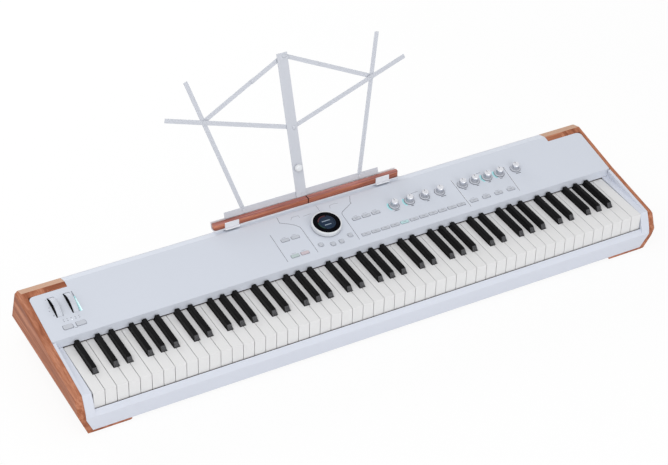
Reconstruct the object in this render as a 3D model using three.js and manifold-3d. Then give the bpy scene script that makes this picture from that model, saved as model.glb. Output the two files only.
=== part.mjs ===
// An 88-key stage piano with a folding music rest, built as an assembly of separate pieces.
//
// Lengths are in millimetres. X runs along the keyboard to the player's right, Y from the player to
// the back and Z up. Heights are measured from the floor and depths from the front of the white keys;
// the finished assembly is shifted along Y so that its origin is under the middle of its outline.

import * as THREE from 'three';
import { mergeVertices } from 'three/addons/utils/BufferGeometryUtils.js';
import Module from 'manifold-3d';

const wasm = await Module();
wasm.setup();

// Fits shared by all pieces
const gap = 0.3; // between two pieces that sit against each other
const overrun = 2; // how far a cutter runs past the faces that it cuts
const pinSides = 8;

// Keyboard
const keyPitch = 23.5;
const keyGap = 1;
const keyTop = 92;
const keyFrontHeight = 38;
const keyPlate = 6; // thickness of a white key's top
const apron = 3; // thickness of a white key's front
const whiteEnd = 146; // where the white tops end, hidden below the panel's lip
const blackFront = 48.5;
const blackEnd = 140.5;
const blackHeight = 12;
const blackTopWidth = 9;
const blackBaseWidth = 11.5;
const blackNoseSlope = 9; // how far the top of a black key is set back from its foot
const blackDepth = 8; // how far a black key reaches below the white tops
const tailStart = 96;
const tailEnd = 218;
const tailBottom = 70;
const tailWidth = 8;
const pivotDepth = 208; // the line that every key turns about
const combEnd = 224;
const whiteWebTop = 77.6;
const blackWebBottom = 79.2;
const keyCount = 88;
const whiteCount = 52;
const lowestNote = 21; // note number of the lowest A; middle C is note 60
const singleLast = 32; // the lowest octave's keys are separate pieces, up to this note
const singleWhites = 7;
const blackShiftShares = { 1: -0.09, 3: 0.09, 6: -0.13, 8: 0, 10: 0.13 }; // of the pitch
const noteNames = ['c', 'c_sharp', 'd', 'd_sharp', 'e', 'f', 'f_sharp', 'g', 'g_sharp', 'a', 'a_sharp', 'b'];

// Case, seen from the side: depth and height of each edge of the hull
const edge = {
	cheekFront: [5, 90],
	cheekBrow: [-1, 76],
	cheekTip: [-8, 57],
	noseTip: [-10.5, 44],
	noseBottom: [-4, 7.5],
	noseCrown: [-7, 52.5],
	slip: [-2.5, 55.5],
	lipFoot: [142.5, 95],
	lip: [146, 110.5],
	rearTop: [275.7, 136],
	rearBevel: [297, 129.3],
	rearBelt: [325, 50],
	rearBottom: [310.8, 7.5],
};
const noseWall = 3;
const panelWall = 3;
const rearWall = 2;
const panWall = 2;
const footHeight = 2; // the wooden ends stand this far above the floor

// Ends of the case, measured outwards from the end keys
const fillerWidth = 14;
const fillerRear = 94.7; // height of the filler where it meets the lip
const seam = 20;
const cheekOut = 34;
const cheekCrest = 28; // the wooden end is highest from the seam to here
const cheekChamfer = 9; // how far the outer face's top edge lies below the crest
const ridgeDropShare = 1.55; // of that chamfer, at the back of the panel
const bevelDropShare = 0.6; // of that chamfer, at the foot of the bevel
const cheekBelt = 50; // height of the widest line of the outer face
const cheekSetback = 3.5; // of the outer face's front edge

// Below the belt a wooden end leans inwards: the lines of its outer and inner faces seen from the
// front, each by two points given as distance from the end keys and height
const leanOuter = [[15.6, footHeight], [cheekOut, cheekBelt]];
const leanInner = [[3.7, footHeight], [seam, 41]];

// A wooden end, cut in upright slices: each slice's distance from the end keys, how far its top
// drops and how far its front is set back
const cheekSlices = [
	{ out: seam, drop: 0, front: 0 },
	{ out: cheekCrest, drop: 0, front: 0 },
	{ out: cheekOut, drop: cheekChamfer, front: cheekSetback },
];
const returnReach = 60; // the rear wood runs this far inwards from the end keys
const returnWall = 16;
const returnFront = 262; // depth of the front edge of the rear wood
const cornerRadius = 12;
const toeReach = 73; // the wood below the nose runs this far inwards
const toeDepth = 60;
const toeFront = -3.3;
const toeTop = 7.2;
const toeRound = 4; // rounding of the strip's free end

// Key chassis
const chassisWall = 3;
const chassisFront = 22;
const chassisRail = 17; // width of the front stop rail
const chassisRailTop = 75;
const fulcrumWidth = 4;

// Feet
const footRadius = 20;
const footSides = 12;
const footInset = 85; // in from the end keys
const footFront = 90;
const footRear = 285;
const footWeb = 10;
const footWebHeight = 4;

// Controls on the sloping panel: x from the lowest key, y up the slope from the lip
const buttonProud = 1.2;
const buttonFit = 0.4; // clearance round a button in its hole
const buttonFlange = 1.5;
const buttonFlangeLip = 2;
const buttonTravel = 1; // how far a button goes down
const lowRow = 25;
const highRow = 70;
const smallButton = [17, 7];
const rowButton = [18, 6.5];
const octaveButton = [19, 10];
const roundButton = 4.5;
const octaveButtons = [[22.8, 24], [49.2, 24]];
const leftButtons = [[505, highRow], [527.5, highRow], [504.5, lowRow], [526.5, lowRow]];
const modeButtons = [[667, highRow], [689.5, highRow], [712, highRow]];
const slotStart = 665;
const slotPitch = 22.4;
const slotCount = 11;
const effectButtons = [[920, lowRow], [950, lowRow], [980, lowRow], [1010, lowRow]];
const dialButtons = [[566, 32.4], [590, 25.4], [609, 25.4], [633.5, 34]];
const knobRow = 73.5;
const knobPlaces = [757, 793, 829, 865, 920, 949.5, 980, 1010.5, 1050];
const knobHeight = 14;
const knobSkirt = 10.5;
const knobSkirtHeight = 2;
const knobBody = 8.2;
const knobTop = 7.2;
const knobShaft = 3;
const knobSides = 12;

// Round display inside a turning ring
const dial = { x: 599.5, y: 74, outer: 31, inner: 28.5, height: 12, collar: 17, hole: 21, wall: 2, sides: 28 };
const glass = { radius: 28.1, thickness: 2, drop: 0.5, stem: 8 };

// Pitch and modulation wheels
const wheel = { radius: 35.6, drop: 25.2, width: 12.6, y: 78, hub: 4, axle: 3, halfAngle: 68, steps: 18 };
const wheelPlaces = [19, 51.4];
const wheelSlot = { width: 14, fit: 0.6, sides: 48 }; // the slot's ends follow the wheel
const wheelBox = { wall: 2, floor: 33, depth: 60 };

// Control board below the panel
const board = { left: 470, right: 1070, front: 12, back: 100, drop: 14.4, thickness: 1.6 };
const bossRadius = 4;

// Music rest, in a plane that leans back; u runs along X from its middle and v up the plane
const restMiddle = -23;
const restFoot = [300, 166]; // depth and height of the point where v is zero
const restLean = 17.8; // degrees
const strip = 1.5; // thickness of the flat bars
const layerPitch = strip + gap;
const barWidth = 9;
const postWidth = 23;
const postMiddle = -4.2; // the post's middle lies this far beside the joints that it carries
const postWall = 2;
const postTop = 290;
const postBottom = -12.5;
const baseJoint = [0, -6];
const midJoint = [0, 134];
const topJoint = [0, 283];
const elbowShare = 0.385; // of the way from the top joint to the crossing
const crossing = [187, 193.5];
const legJoint = [133, -6];
const legTip = [213, 281];
const lowerTip = [268, 217];
const plateHalf = 176;
const plateInner = 7; // each half plate runs this far past the middle
const plateHeight = 13;
const rivetPin = 2;
const rivetHead = 4;
const rivetHeadHeight = 1;
const knobPlaceOnPost = 50;
const thumbRadius = 8;
const thumbHeight = 9;
const thumbScrew = 3;
const tongueTop = 64;
const tongueWidth = 14;
const backLipTop = -12;

// Ledge of the music rest
const ledge = { middle: -18, front: 283, depth: 11.5, bottom: 142, height: 11.5, half: 211, round: 7 };
const ledgeJoint = 0.5; // half of the gap between the two pieces of wood
const bracketWall = 2;
const tab = { place: 172, width: 31, height: 12 };
const strapReach = 40; // how far each strap runs down the back of the case

const white = new THREE.MeshStandardMaterial({ color: 0xdadde7, roughness: 0.45, metalness: 0 });
const metal = new THREE.MeshStandardMaterial({ color: 0xd0d4df, roughness: 0.4, metalness: 0.2 });
const steel = new THREE.MeshStandardMaterial({ color: 0x8c9096, roughness: 0.5, metalness: 0.8 });
const wood = new THREE.MeshStandardMaterial({ color: 0xa8603f, roughness: 0.5, metalness: 0 });
const ivory = new THREE.MeshStandardMaterial({ color: 0xf0efec, roughness: 0.3, metalness: 0 });
const ebony = new THREE.MeshStandardMaterial({ color: 0x202122, roughness: 0.4, metalness: 0 });
const rubber = new THREE.MeshStandardMaterial({ color: 0x2a2a2c, roughness: 0.9, metalness: 0 });
const laminate = new THREE.MeshStandardMaterial({ color: 0x2c5a3c, roughness: 0.6, metalness: 0 });
const screen = new THREE.MeshStandardMaterial({ color: 0x08090c, roughness: 0.1, metalness: 0 });

const keyboardWidth = keyPitch * whiteCount;
const firstKey = -keyboardWidth / 2;
const slope = Math.atan2(edge.rearTop[1] - edge.lip[1], edge.rearTop[0] - edge.lip[0]);
const lean = THREE.MathUtils.degToRad(restLean);

const piano = new THREE.Group();

// The panel's own frame: x along the keyboard, y up the slope, z out of the panel
const deck = new THREE.Group();
deck.position.set(firstKey, edge.lip[0], edge.lip[1]);
deck.rotation.x = slope;
deck.updateMatrix();
piano.add(deck);

// The music rest's own frame: x along the keyboard, y up the rest, z towards the player
const rest = new THREE.Group();
rest.position.set(restMiddle, restFoot[0], restFoot[1]);
rest.rotation.x = Math.PI / 2 - lean;
rest.updateMatrix();
piano.add(rest);

// Solids: closed geometry in, closed geometry out
function toSolid(geometry) {
	const bare = geometry.index ? geometry.toNonIndexed() : geometry.clone();
	bare.deleteAttribute('normal');
	bare.deleteAttribute('uv');
	const merged = mergeVertices(bare, 1e-4);
	const vertProperties = new Float32Array(merged.attributes.position.array);
	const triVerts = new Uint32Array(merged.index.array);
	return new wasm.Manifold(new wasm.Mesh({ numProp: 3, vertProperties, triVerts }));
}

function toGeometry(solid) {
	const mesh = solid.getMesh();
	const geometry = new THREE.BufferGeometry();
	geometry.setAttribute('position', new THREE.BufferAttribute(new Float32Array(mesh.vertProperties), 3));
	geometry.setIndex(new THREE.BufferAttribute(new Uint32Array(mesh.triVerts), 1));
	return geometry;
}

function join(...geometries) {
	return toGeometry(geometries.map(toSolid).reduce((sum, next) => sum.add(next)));
}

function cut(body, ...cutters) {
	return toGeometry(cutters.map(toSolid).reduce((sum, next) => sum.subtract(next), toSolid(body)));
}

function add(parent, name, geometry, material, position = [0, 0, 0]) {
	const mesh = new THREE.Mesh(geometry, material);
	mesh.name = name;
	mesh.position.set(...position);
	parent.add(mesh);
	return mesh;
}

// Shapes
function outline(points) {
	return new THREE.Shape(points.map(([x, y]) => new THREE.Vector2(x, y)));
}

function sheet(shape, low, high) {
	const geometry = new THREE.ExtrudeGeometry(shape, { depth: high - low, bevelEnabled: false });
	return geometry.translate(0, 0, low);
}

// A side view, given as depth and height, run along X
function profile(points, left, right) {
	const turn = new THREE.Matrix4().makeBasis(
		new THREE.Vector3(0, 1, 0), new THREE.Vector3(0, 0, 1), new THREE.Vector3(1, 0, 0));
	return sheet(outline(points), left, right).applyMatrix4(turn);
}

function block(left, right, front, back, bottom, top) {
	return profile([[front, bottom], [back, bottom], [back, top], [front, top]], left, right);
}

function rectangle(x, y, width, height) {
	const [w, h] = [width / 2, height / 2];
	return outline([[x - w, y - h], [x + w, y - h], [x + w, y + h], [x - w, y + h]]);
}

function ringPoints(x, y, radius, sides) {
	return Array.from({ length: sides }, (_, i) => {
		const angle = (2 * Math.PI * (i + 0.5)) / sides;
		return [x + radius * Math.cos(angle), y + radius * Math.sin(angle)];
	});
}

function disc(x, y, radius, sides, low, high) {
	return sheet(outline(ringPoints(x, y, radius, sides)), low, high);
}

// A turned shape about the local Z axis, from a profile of radius and height
function turned(points, sides) {
	const line = points.map(([r, z]) => new THREE.Vector2(r, z));
	return new THREE.LatheGeometry(line, sides).rotateX(Math.PI / 2);
}

// The radius of a faceted hole that a faceted pin can turn in
function turnRoom(radius) {
	return (radius + gap) / Math.cos(Math.PI / pinSides);
}

// The point where the line through two edges reaches a height
function atHeight([y0, z0], [y1, z1], z) {
	return [y0 + ((y1 - y0) * (z - z0)) / (z1 - z0), z];
}

function panelHeight(y) {
	return edge.lip[1] + (y - edge.lip[0]) * Math.tan(slope);
}

// The height of a line at a distance from the end keys, and the distance at a height
function lineHeight([[x0, z0], [x1, z1]], x) {
	return z0 + ((z1 - z0) * (x - x0)) / (x1 - x0);
}

function lineOut([[x0, z0], [x1, z1]], z) {
	return x0 + ((x1 - x0) * (z - z0)) / (z1 - z0);
}

// A side view moved inwards: each of its edges shifted by the wall, for an open line of points
function inset(points, wall) {
	const normals = points.slice(1).map(([y, z], i) => {
		const [dy, dz] = [y - points[i][0], z - points[i][1]];
		const length = Math.hypot(dy, dz);
		return [dz / length, -dy / length];
	});
	return points.map(([y, z], i) => {
		const before = normals[Math.max(i - 1, 0)];
		const after = normals[Math.min(i, normals.length - 1)];
		const share = wall / (1 + before[0] * after[0] + before[1] * after[1]);
		return [y + share * (before[0] + after[0]), z + share * (before[1] + after[1])];
	});
}

function shell(points, wall) {
	return [...points, ...inset(points, wall).reverse()];
}

// Wooden ends
function cheekRing(side, slice) {
	const x = side * (keyboardWidth / 2 + slice.out);
	const top = ([y, z], share, move) => [y + move, z - slice.drop * share];
	const low = lineHeight(leanOuter, slice.out);
	const tipLow = [edge.noseTip[0], Math.max(edge.noseTip[1], (low + edge.cheekTip[1]) / 2)];
	const points = [
		top(edge.cheekFront, 1, 0),
		top(edge.cheekBrow, 1 / 2, slice.front / 2),
		top(edge.cheekTip, 0, slice.front),
		top(tipLow, 0, slice.front),
		top(atHeight(edge.noseTip, edge.noseBottom, low), 0, slice.front),
		atHeight(edge.rearBelt, edge.rearBottom, low - gap),
		edge.rearBelt,
		top(edge.rearBevel, bevelDropShare, 0),
		top(edge.rearTop, ridgeDropShare, 0),
		top(edge.lip, 1, 0),
	];
	return points.map(([y, z]) => [x, y, z]);
}

function cheek(side) {
	const rings = cheekSlices.map((slice) => cheekRing(side, slice));
	const size = rings[0].length;
	const index = [];
	const face = (a, b, c) => index.push(...(side > 0 ? [a, b, c] : [a, c, b]));
	for (let r = 0; r + 1 < rings.length; r++) {
		for (let i = 0; i < size; i++) {
			const next = (i + 1) % size;
			const [a, b, c, d] = [r * size + i, r * size + next, (r + 1) * size + next, (r + 1) * size + i];
			face(a, b, c);
			face(a, c, d);
		}
	}
	const flat = (ring) => ring.map(([, y, z]) => new THREE.Vector2(y, z));
	const last = (rings.length - 1) * size;
	for (const [a, b, c] of THREE.ShapeUtils.triangulateShape(flat(rings[0]), [])) face(a, c, b);
	for (const [a, b, c] of THREE.ShapeUtils.triangulateShape(flat(rings.at(-1)), [])) {
		face(last + a, last + b, last + c);
	}
	const body = new THREE.BufferGeometry();
	body.setAttribute('position', new THREE.Float32BufferAttribute(rings.flat(2), 3));
	body.setIndex(index);
	return body;
}

const cheekReach = keyboardWidth / 2 + cheekOut + overrun;
const leanMiddle = (leanInner[0][0] + leanOuter[0][0]) / 2;

// The wood that wraps round the back corner, and the strip of it below the nose
function cheekReturns(side) {
	const span = (reach) => {
		const ends = [side * (keyboardWidth / 2 - reach), side * (keyboardWidth / 2 + seam + overrun / 2)];
		return [Math.min(...ends), Math.max(...ends)];
	};
	const back = [
		[returnFront, panelHeight(returnFront)], edge.rearTop, edge.rearBevel, edge.rearBelt,
		atHeight(edge.rearBelt, edge.rearBottom, footHeight),
	];
	const [end, root] = [side * (keyboardWidth / 2 - toeReach), side * (keyboardWidth / 2 + leanMiddle)];
	const front = new THREE.Shape();
	front.moveTo(root, footHeight);
	front.lineTo(end + side * toeRound, footHeight);
	front.quadraticCurveTo(end, footHeight, end, footHeight + toeRound);
	front.lineTo(end, toeTop);
	front.lineTo(root, toeTop);
	const toe = sheet(front, -toeDepth, -toeFront).rotateX(Math.PI / 2);
	return [profile(shell(back, returnWall), ...span(returnReach)), toe];
}

// A front view at one end, given as distance from the end keys and height, run from front to back
function endProfile(side, points, front, back) {
	const shape = outline(points.map(([out, z]) => [side * (keyboardWidth / 2 + out), z]));
	return sheet(shape, -back, -front).rotateX(Math.PI / 2);
}

// The leaning lower part of a wooden end, trimmed to the side view of the case
function cheekLean(side) {
	const root = seam + overrun / 2;
	const body = endProfile(side, [leanInner[0], leanOuter[0], [root, lineHeight(leanOuter, root)],
		[root, lineHeight(leanInner, root)]], edge.noseTip[0] - overrun, edge.rearBelt[0]);
	const [low, high] = [-overrun, cheekBelt];
	const ahead = [[edge.noseTip[0] - 2 * overrun, low], atHeight(edge.noseTip, edge.noseBottom, low),
		atHeight(edge.noseTip, edge.noseBottom, high), [edge.noseTip[0] - 2 * overrun, high]];
	const behind = [atHeight(edge.rearBelt, edge.rearBottom, low), [edge.rearBelt[0] + overrun, low],
		[edge.rearBelt[0] + overrun, high], atHeight(edge.rearBelt, edge.rearBottom, high)];
	const trims = [ahead, behind].map((points) => profile(points, -cheekReach, cheekReach));
	return cut(body, ...trims);
}

// What lies below the outer face, and what the wood leaves free for the pieces inside it
function belowLean(side) {
	const [low, high] = [-overrun, cheekBelt + overrun];
	const at = (z) => [lineOut(leanOuter, z) + gap / 2, z];
	return endProfile(side, [at(low), [cheekOut + 2 * overrun, low], [cheekOut + 2 * overrun, high], at(high)],
		edge.noseTip[0] - 2 * overrun, edge.rearBelt[0] + overrun);
}

function besideLean(side) {
	const [low, out] = [-overrun, seam + overrun];
	return endProfile(side, [[lineOut(leanInner, low) - gap, low], [out, low], [out, lineHeight(leanInner, out + gap)]],
		edge.noseTip[0] - 2 * overrun, toeDepth);
}

for (const [side, name] of [[-1, 'left_cheek'], [1, 'right_cheek']]) {
	const body = join(cheek(side), cheekLean(side), ...cheekReturns(side));
	add(piano, name, cut(body, belowLean(side)), wood);
}

// Front moulding: the nose below the keys, with a filler and a rim at each end
const mouldingHalf = keyboardWidth / 2 + seam - gap;
const noseLine = [edge.noseBottom, edge.noseTip, edge.noseCrown, edge.slip];
const noseBack = inset(noseLine, noseWall)[0][0];
function endPiece(side) {
	const from = (inner, outer) => {
		const ends = [side * (keyboardWidth / 2 + inner), side * (keyboardWidth / 2 + outer)];
		return [Math.min(...ends), Math.max(...ends)];
	};
	const back = edge.lipFoot[0] - gap;
	const front = [edge.cheekFront, edge.cheekBrow, edge.cheekTip, edge.noseTip, edge.noseBottom,
		[noseBack, edge.noseBottom[1]], [noseBack, edge.slip[1]]];
	const rim = [[back, edge.slip[1]], [back, panelHeight(edge.lipFoot[0])], ...front];
	const filler = [[back, edge.slip[1]], [back, fillerRear], ...front];
	return [
		profile(filler, ...from(keyGap, fillerWidth + overrun / 2)),
		profile(rim, ...from(fillerWidth, seam - gap)),
	];
}
const nose = profile(shell(noseLine, noseWall), -mouldingHalf, mouldingHalf);
const moulding = join(nose, ...endPiece(-1), ...endPiece(1));
add(piano, 'front_moulding', cut(moulding, besideLean(-1), besideLean(1)), white);

// Bottom pan and sloping back
const panBottom = edge.noseBottom[1] + gap;
const panHalf = keyboardWidth / 2 + lineOut(leanInner, panBottom) - gap;
const panFront = noseBack + gap;
const backLine = [edge.rearBevel, edge.rearBelt, edge.rearBottom];
const backInside = inset(backLine, rearWall);
const panBack = backInside[2][0] - rearWall;
const cornerInside = returnWall + rearWall + gap;
const panOutline = [
	[-panHalf, panFront], [panHalf, panFront], [panHalf, edge.rearBottom[0] - cornerInside],
	[keyboardWidth / 2 - returnReach - gap, edge.rearBottom[0] - cornerInside],
	[keyboardWidth / 2 - returnReach - gap, panBack],
	[-keyboardWidth / 2 + returnReach + gap, panBack],
	[-keyboardWidth / 2 + returnReach + gap, edge.rearBottom[0] - cornerInside],
	[-panHalf, edge.rearBottom[0] - cornerInside],
];
add(piano, 'base_pan', sheet(outline(panOutline), panBottom, panBottom + panWall), steel);

const backHalf = keyboardWidth / 2 - returnReach - gap;
add(piano, 'rear_panel', profile(shell(backLine, rearWall), -backHalf, backHalf), metal);

// Sloping top panel, with its lip at the front, its bevel at the back and a hole for each control
function deckCutter(shape, depth = board.drop) {
	return sheet(shape, -depth, overrun).applyMatrix4(deck.matrix);
}

function buttonHole(x, y, [width, height]) {
	return deckCutter(rectangle(x, y, width + 2 * buttonFit, height + 2 * buttonFit));
}

const slotButtons = Array.from({ length: slotCount }, (_, i) => [slotStart + i * slotPitch, lowRow]);

// The panel's back corners make room for the rear wood, rounded where the two meet
function cornerNotch(side) {
	const inner = side < 0 ? returnReach + gap : keyboardWidth - returnReach - gap;
	const outer = side < 0 ? -seam - overrun : keyboardWidth + seam + overrun;
	const wall = side < 0 ? -seam : keyboardWidth + seam;
	const low = (returnFront - gap - edge.lip[0]) / Math.cos(slope);
	const high = (edge.rearBevel[0] + overrun - edge.lip[0]) / Math.cos(slope);
	const shape = new THREE.Shape();
	shape.moveTo(inner, low);
	shape.lineTo(wall - side * cornerRadius, low);
	shape.quadraticCurveTo(wall, low, wall, low - cornerRadius);
	shape.lineTo(outer, low - cornerRadius);
	shape.lineTo(outer, high);
	shape.lineTo(inner, high);
	return deckCutter(shape, edge.lip[1]);
}

const panelLine = [edge.lipFoot, edge.lip, edge.rearTop, atHeight(edge.rearTop, edge.rearBevel,
	edge.rearBevel[1] + rearWall / 2)];
const panelHalf = keyboardWidth / 2 + seam - gap;
const bosses = [board.left, board.right].flatMap((x) => [board.front, board.back].map((y) => {
	const [inX, inY] = [x === board.left ? bossRadius : -bossRadius, y === board.front ? bossRadius : -bossRadius];
	return disc(x + inX, y + inY, bossRadius, pinSides, gap - board.drop, -panelWall / 2).applyMatrix4(deck.matrix);
}));
const panelHoles = [
	...octaveButtons.map(([x, y]) => buttonHole(x, y, octaveButton)),
	...leftButtons.map(([x, y]) => buttonHole(x, y, smallButton)),
	...modeButtons.map(([x, y]) => buttonHole(x, y, smallButton)),
	...slotButtons.map(([x, y]) => buttonHole(x, y, rowButton)),
	...effectButtons.map(([x, y]) => buttonHole(x, y, smallButton)),
	...dialButtons.map(([x, y]) => deckCutter(outline(ringPoints(x, y, roundButton + 2 * buttonFit, pinSides)))),
	...knobPlaces.map((x) => deckCutter(outline(ringPoints(x, knobRow, turnRoom(knobShaft), pinSides)))),
	...wheelPlaces.map((x) => profile(
		ringPoints(wheel.y, -wheel.drop, wheel.radius + wheelSlot.fit, wheelSlot.sides),
		x - wheelSlot.width / 2, x + wheelSlot.width / 2).applyMatrix4(deck.matrix)),
	deckCutter(outline(ringPoints(dial.x, dial.y, dial.hole, dial.sides))),
];
const panelBody = join(profile(shell(panelLine, panelWall), -panelHalf, panelHalf), ...bosses);
add(piano, 'top_panel', cut(panelBody, ...panelHoles, cornerNotch(-1), cornerNotch(1)), white);

// Buttons: the caps of one group share a flange below the panel, and travel together
function buttonCaps(places, shapeAt) {
	const xs = places.map(([x]) => x);
	const ys = places.map(([, y]) => y);
	const low = -panelWall - gap - buttonFlange;
	const margin = buttonFlangeLip + smallButton[0] / 2;
	const [left, right] = [Math.min(...xs) - margin, Math.max(...xs) + margin];
	const [front, back] = [Math.min(...ys) - smallButton[1] / 2 - buttonFlangeLip,
		Math.max(...ys) + smallButton[1] / 2 + buttonFlangeLip];
	const flange = sheet(outline([[left, front], [right, front], [right, back], [left, back]]),
		low, low + buttonFlange);
	return join(flange, ...places.map(([x, y]) => sheet(shapeAt(x, y), low + buttonFlange / 2, buttonProud)));
}

const rectangular = ([width, height]) => (x, y) => rectangle(x, y, width, height);
const roundCap = (x, y) => outline(ringPoints(x, y, roundButton, pinSides));
octaveButtons.forEach((place, i) => {
	add(deck, ['octave_down_button', 'octave_up_button'][i], buttonCaps([place], rectangular(octaveButton)), white);
});
add(deck, 'transport_buttons', buttonCaps(leftButtons, rectangular(smallButton)), white);
add(deck, 'mode_buttons', buttonCaps(modeButtons, rectangular(smallButton)), white);
add(deck, 'slot_buttons', buttonCaps(slotButtons, rectangular(rowButton)), white);
add(deck, 'effect_buttons', buttonCaps(effectButtons, rectangular(smallButton)), white);
add(deck, 'display_buttons', buttonCaps(dialButtons, roundCap), white);

// Knobs, each with a shaft down to the board
const knob = turned([
	[0, gap - board.drop], [knobShaft, gap - board.drop], [knobShaft, gap], [knobSkirt, gap],
	[knobSkirt, knobSkirtHeight], [knobBody, knobSkirtHeight + gap], [knobTop, knobHeight], [0, knobHeight],
], knobSides);
knobPlaces.forEach((x, i) => add(deck, `knob_${i + 1}`, knob.clone(), white, [x, knobRow, 0]));

// Display: a turning ring round a fixed glass on a stem
const ring = turned([
	[dial.collar, -panelWall - gap], [dial.hole - 2 * gap, -panelWall - gap], [dial.hole - 2 * gap, gap],
	[dial.outer, gap], [dial.outer, dial.height], [dial.inner, dial.height], [dial.inner, gap + dial.wall],
	[dial.collar, gap + dial.wall], [dial.collar, -panelWall - gap],
], dial.sides);
add(deck, 'display_ring', ring, metal, [dial.x, dial.y, 0]);
const glassTop = dial.height - glass.drop;
const display = turned([
	[0, gap - board.drop], [glass.stem, gap - board.drop], [glass.stem, glassTop - glass.thickness],
	[glass.radius, glassTop - glass.thickness], [glass.radius, glassTop], [0, glassTop],
], dial.sides);
add(deck, 'display_glass', display, screen, [dial.x, dial.y, 0]);

// Control board
const boardShape = outline([[board.left, board.front], [board.right, board.front],
	[board.right, board.back], [board.left, board.back]]);
add(deck, 'control_board', sheet(boardShape, -board.drop - board.thickness, -board.drop), laminate);

// Pitch and modulation wheels: the top of a wheel on an axle that its box carries
function wheelShape() {
	const half = THREE.MathUtils.degToRad(wheel.halfAngle);
	const points = Array.from({ length: wheel.steps + 1 }, (_, i) => {
		const angle = -half + (2 * half * i) / wheel.steps;
		return [-wheel.radius * Math.sin(angle), wheel.radius * Math.cos(angle)];
	});
	return [...points, [-wheel.hub, -wheel.hub], [wheel.hub, -wheel.hub]];
}

const halfSpan = (wheelPlaces[1] - wheelPlaces[0]) / 2;
const axleHalf = halfSpan - gap / 2;
const disk = join(
	profile(wheelShape(), -wheel.width / 2, wheel.width / 2),
	profile(ringPoints(0, 0, wheel.axle, pinSides), -axleHalf, axleHalf),
);
['pitch_wheel', 'modulation_wheel'].forEach((name, i) => {
	add(deck, name, disk.clone(), white, [wheelPlaces[i], wheel.y, -wheel.drop]);
});

// The box: a floor with three upright walls, seen from the front
const boxTop = -panelWall - gap;
const wallPlaces = [wheelPlaces[0] - halfSpan, wheelPlaces[0] + halfSpan, wheelPlaces[1] + halfSpan];
const boxFront = wheel.y - wheelBox.depth / 2;
const boxBack = wheel.y + wheelBox.depth / 2;
const boxWalls = wallPlaces.map((x) => {
	const half = wheelBox.wall / 2;
	return block(x - half, x + half, boxFront, boxBack, -wheelBox.floor, boxTop);
});
const boxFloor = block(wallPlaces[0], wallPlaces[2], boxFront, boxBack, -wheelBox.floor,
	wheelBox.wall - wheelBox.floor);
const bearings = ringPoints(wheel.y, -wheel.drop, turnRoom(wheel.axle), pinSides);
const boxBody = join(boxFloor, ...boxWalls);
const boxHole = profile(bearings, wallPlaces[0] - overrun, wallPlaces[2] + overrun);
add(deck, 'wheel_box', cut(boxBody, boxHole), steel);

// Key chassis: a floor with a stop rail at the front and the upright that the keys turn on
const chassisBottom = panBottom + panWall + gap;
const railBack = chassisFront + chassisRail;
const fulcrumBack = pivotDepth + fulcrumWidth / 2;
const fulcrumFront = pivotDepth - fulcrumWidth / 2;
const chassisTop = chassisBottom + chassisWall;
const chassisLine = [
	[chassisFront, chassisBottom], [fulcrumBack, chassisBottom], [fulcrumBack, tailBottom - gap],
	[fulcrumFront, tailBottom - gap], [fulcrumFront, chassisTop], [railBack, chassisTop],
	[railBack, chassisRailTop], [chassisFront, chassisRailTop],
	[chassisFront, chassisRailTop - chassisWall], [railBack - chassisWall, chassisRailTop - chassisWall],
	[railBack - chassisWall, chassisTop], [chassisFront, chassisTop],
];
const chassisHalf = keyboardWidth / 2 - keyGap;
add(piano, 'key_chassis', profile(chassisLine, -chassisHalf, chassisHalf), steel);

// Keys
const isBlack = (note) => note % 12 in blackShiftShares;

// Where each key lies: whites by their left edge, blacks by their middle
function keyboardLayout() {
	const keys = [];
	let whites = 0;
	for (let note = lowestNote; note < lowestNote + keyCount; note++) {
		const boundary = firstKey + whites * keyPitch;
		if (isBlack(note)) {
			keys.push({ note, black: true, x: boundary + blackShiftShares[note % 12] * keyPitch });
		} else {
			keys.push({ note, black: false, x: boundary });
			whites += 1;
		}
	}
	return keys;
}
const layout = keyboardLayout();

function whiteKey({ x }, index, joined) {
	const [left, right] = [x + keyGap / 2, x + keyPitch - keyGap / 2];
	const [before, after] = [layout[index - 1], layout[index + 1]];
	const clear = blackBaseWidth / 2 + keyGap;
	const stemLeft = before?.black ? before.x + clear : left;
	const stemRight = after?.black ? after.x - clear : right;
	const middle = (stemLeft + stemRight) / 2;
	const top = [keyTop - keyPlate, keyTop];
	const headEnd = blackFront - keyGap;
	const pieces = [
		block(left, right, 0, headEnd, ...top),
		block(left, right, 0, apron, keyTop - keyFrontHeight, keyTop),
		block(stemLeft, stemRight, headEnd - apron, whiteEnd, ...top),
		block(middle - tailWidth / 2, middle + tailWidth / 2, tailStart, tailEnd, tailBottom, top[0] + keyGap),
	];
	if (joined) {
		pieces.push(block(middle - tailWidth / 2, middle + tailWidth / 2, pivotDepth, combEnd,
			tailBottom, whiteWebTop));
	}
	return join(...pieces);
}

function blackCap(x) {
	const [foot, bottom, top] = [blackBaseWidth / 2, keyTop - blackDepth, keyTop + blackHeight];
	const crown = blackTopWidth / 2;
	const corners = [
		[-foot, blackFront, bottom], [foot, blackFront, bottom], [foot, blackEnd, bottom], [-foot, blackEnd, bottom],
		[-foot, blackFront, keyTop], [foot, blackFront, keyTop], [foot, blackEnd, keyTop], [-foot, blackEnd, keyTop],
		[-crown, blackFront + blackNoseSlope, top], [crown, blackFront + blackNoseSlope, top],
		[crown, blackEnd, top], [-crown, blackEnd, top],
	];
	const index = [0, 3, 2, 0, 2, 1, 8, 9, 10, 8, 10, 11];
	for (const low of [0, 4]) {
		for (let i = 0; i < 4; i++) {
			const [a, b] = [low + i, low + ((i + 1) % 4)];
			index.push(a, b, b + 4, a, b + 4, a + 4);
		}
	}
	const body = new THREE.BufferGeometry();
	const places = corners.flatMap(([cx, y, z]) => [x + cx, y, z]);
	body.setAttribute('position', new THREE.Float32BufferAttribute(places, 3));
	body.setIndex(index);
	return body;
}

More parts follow.
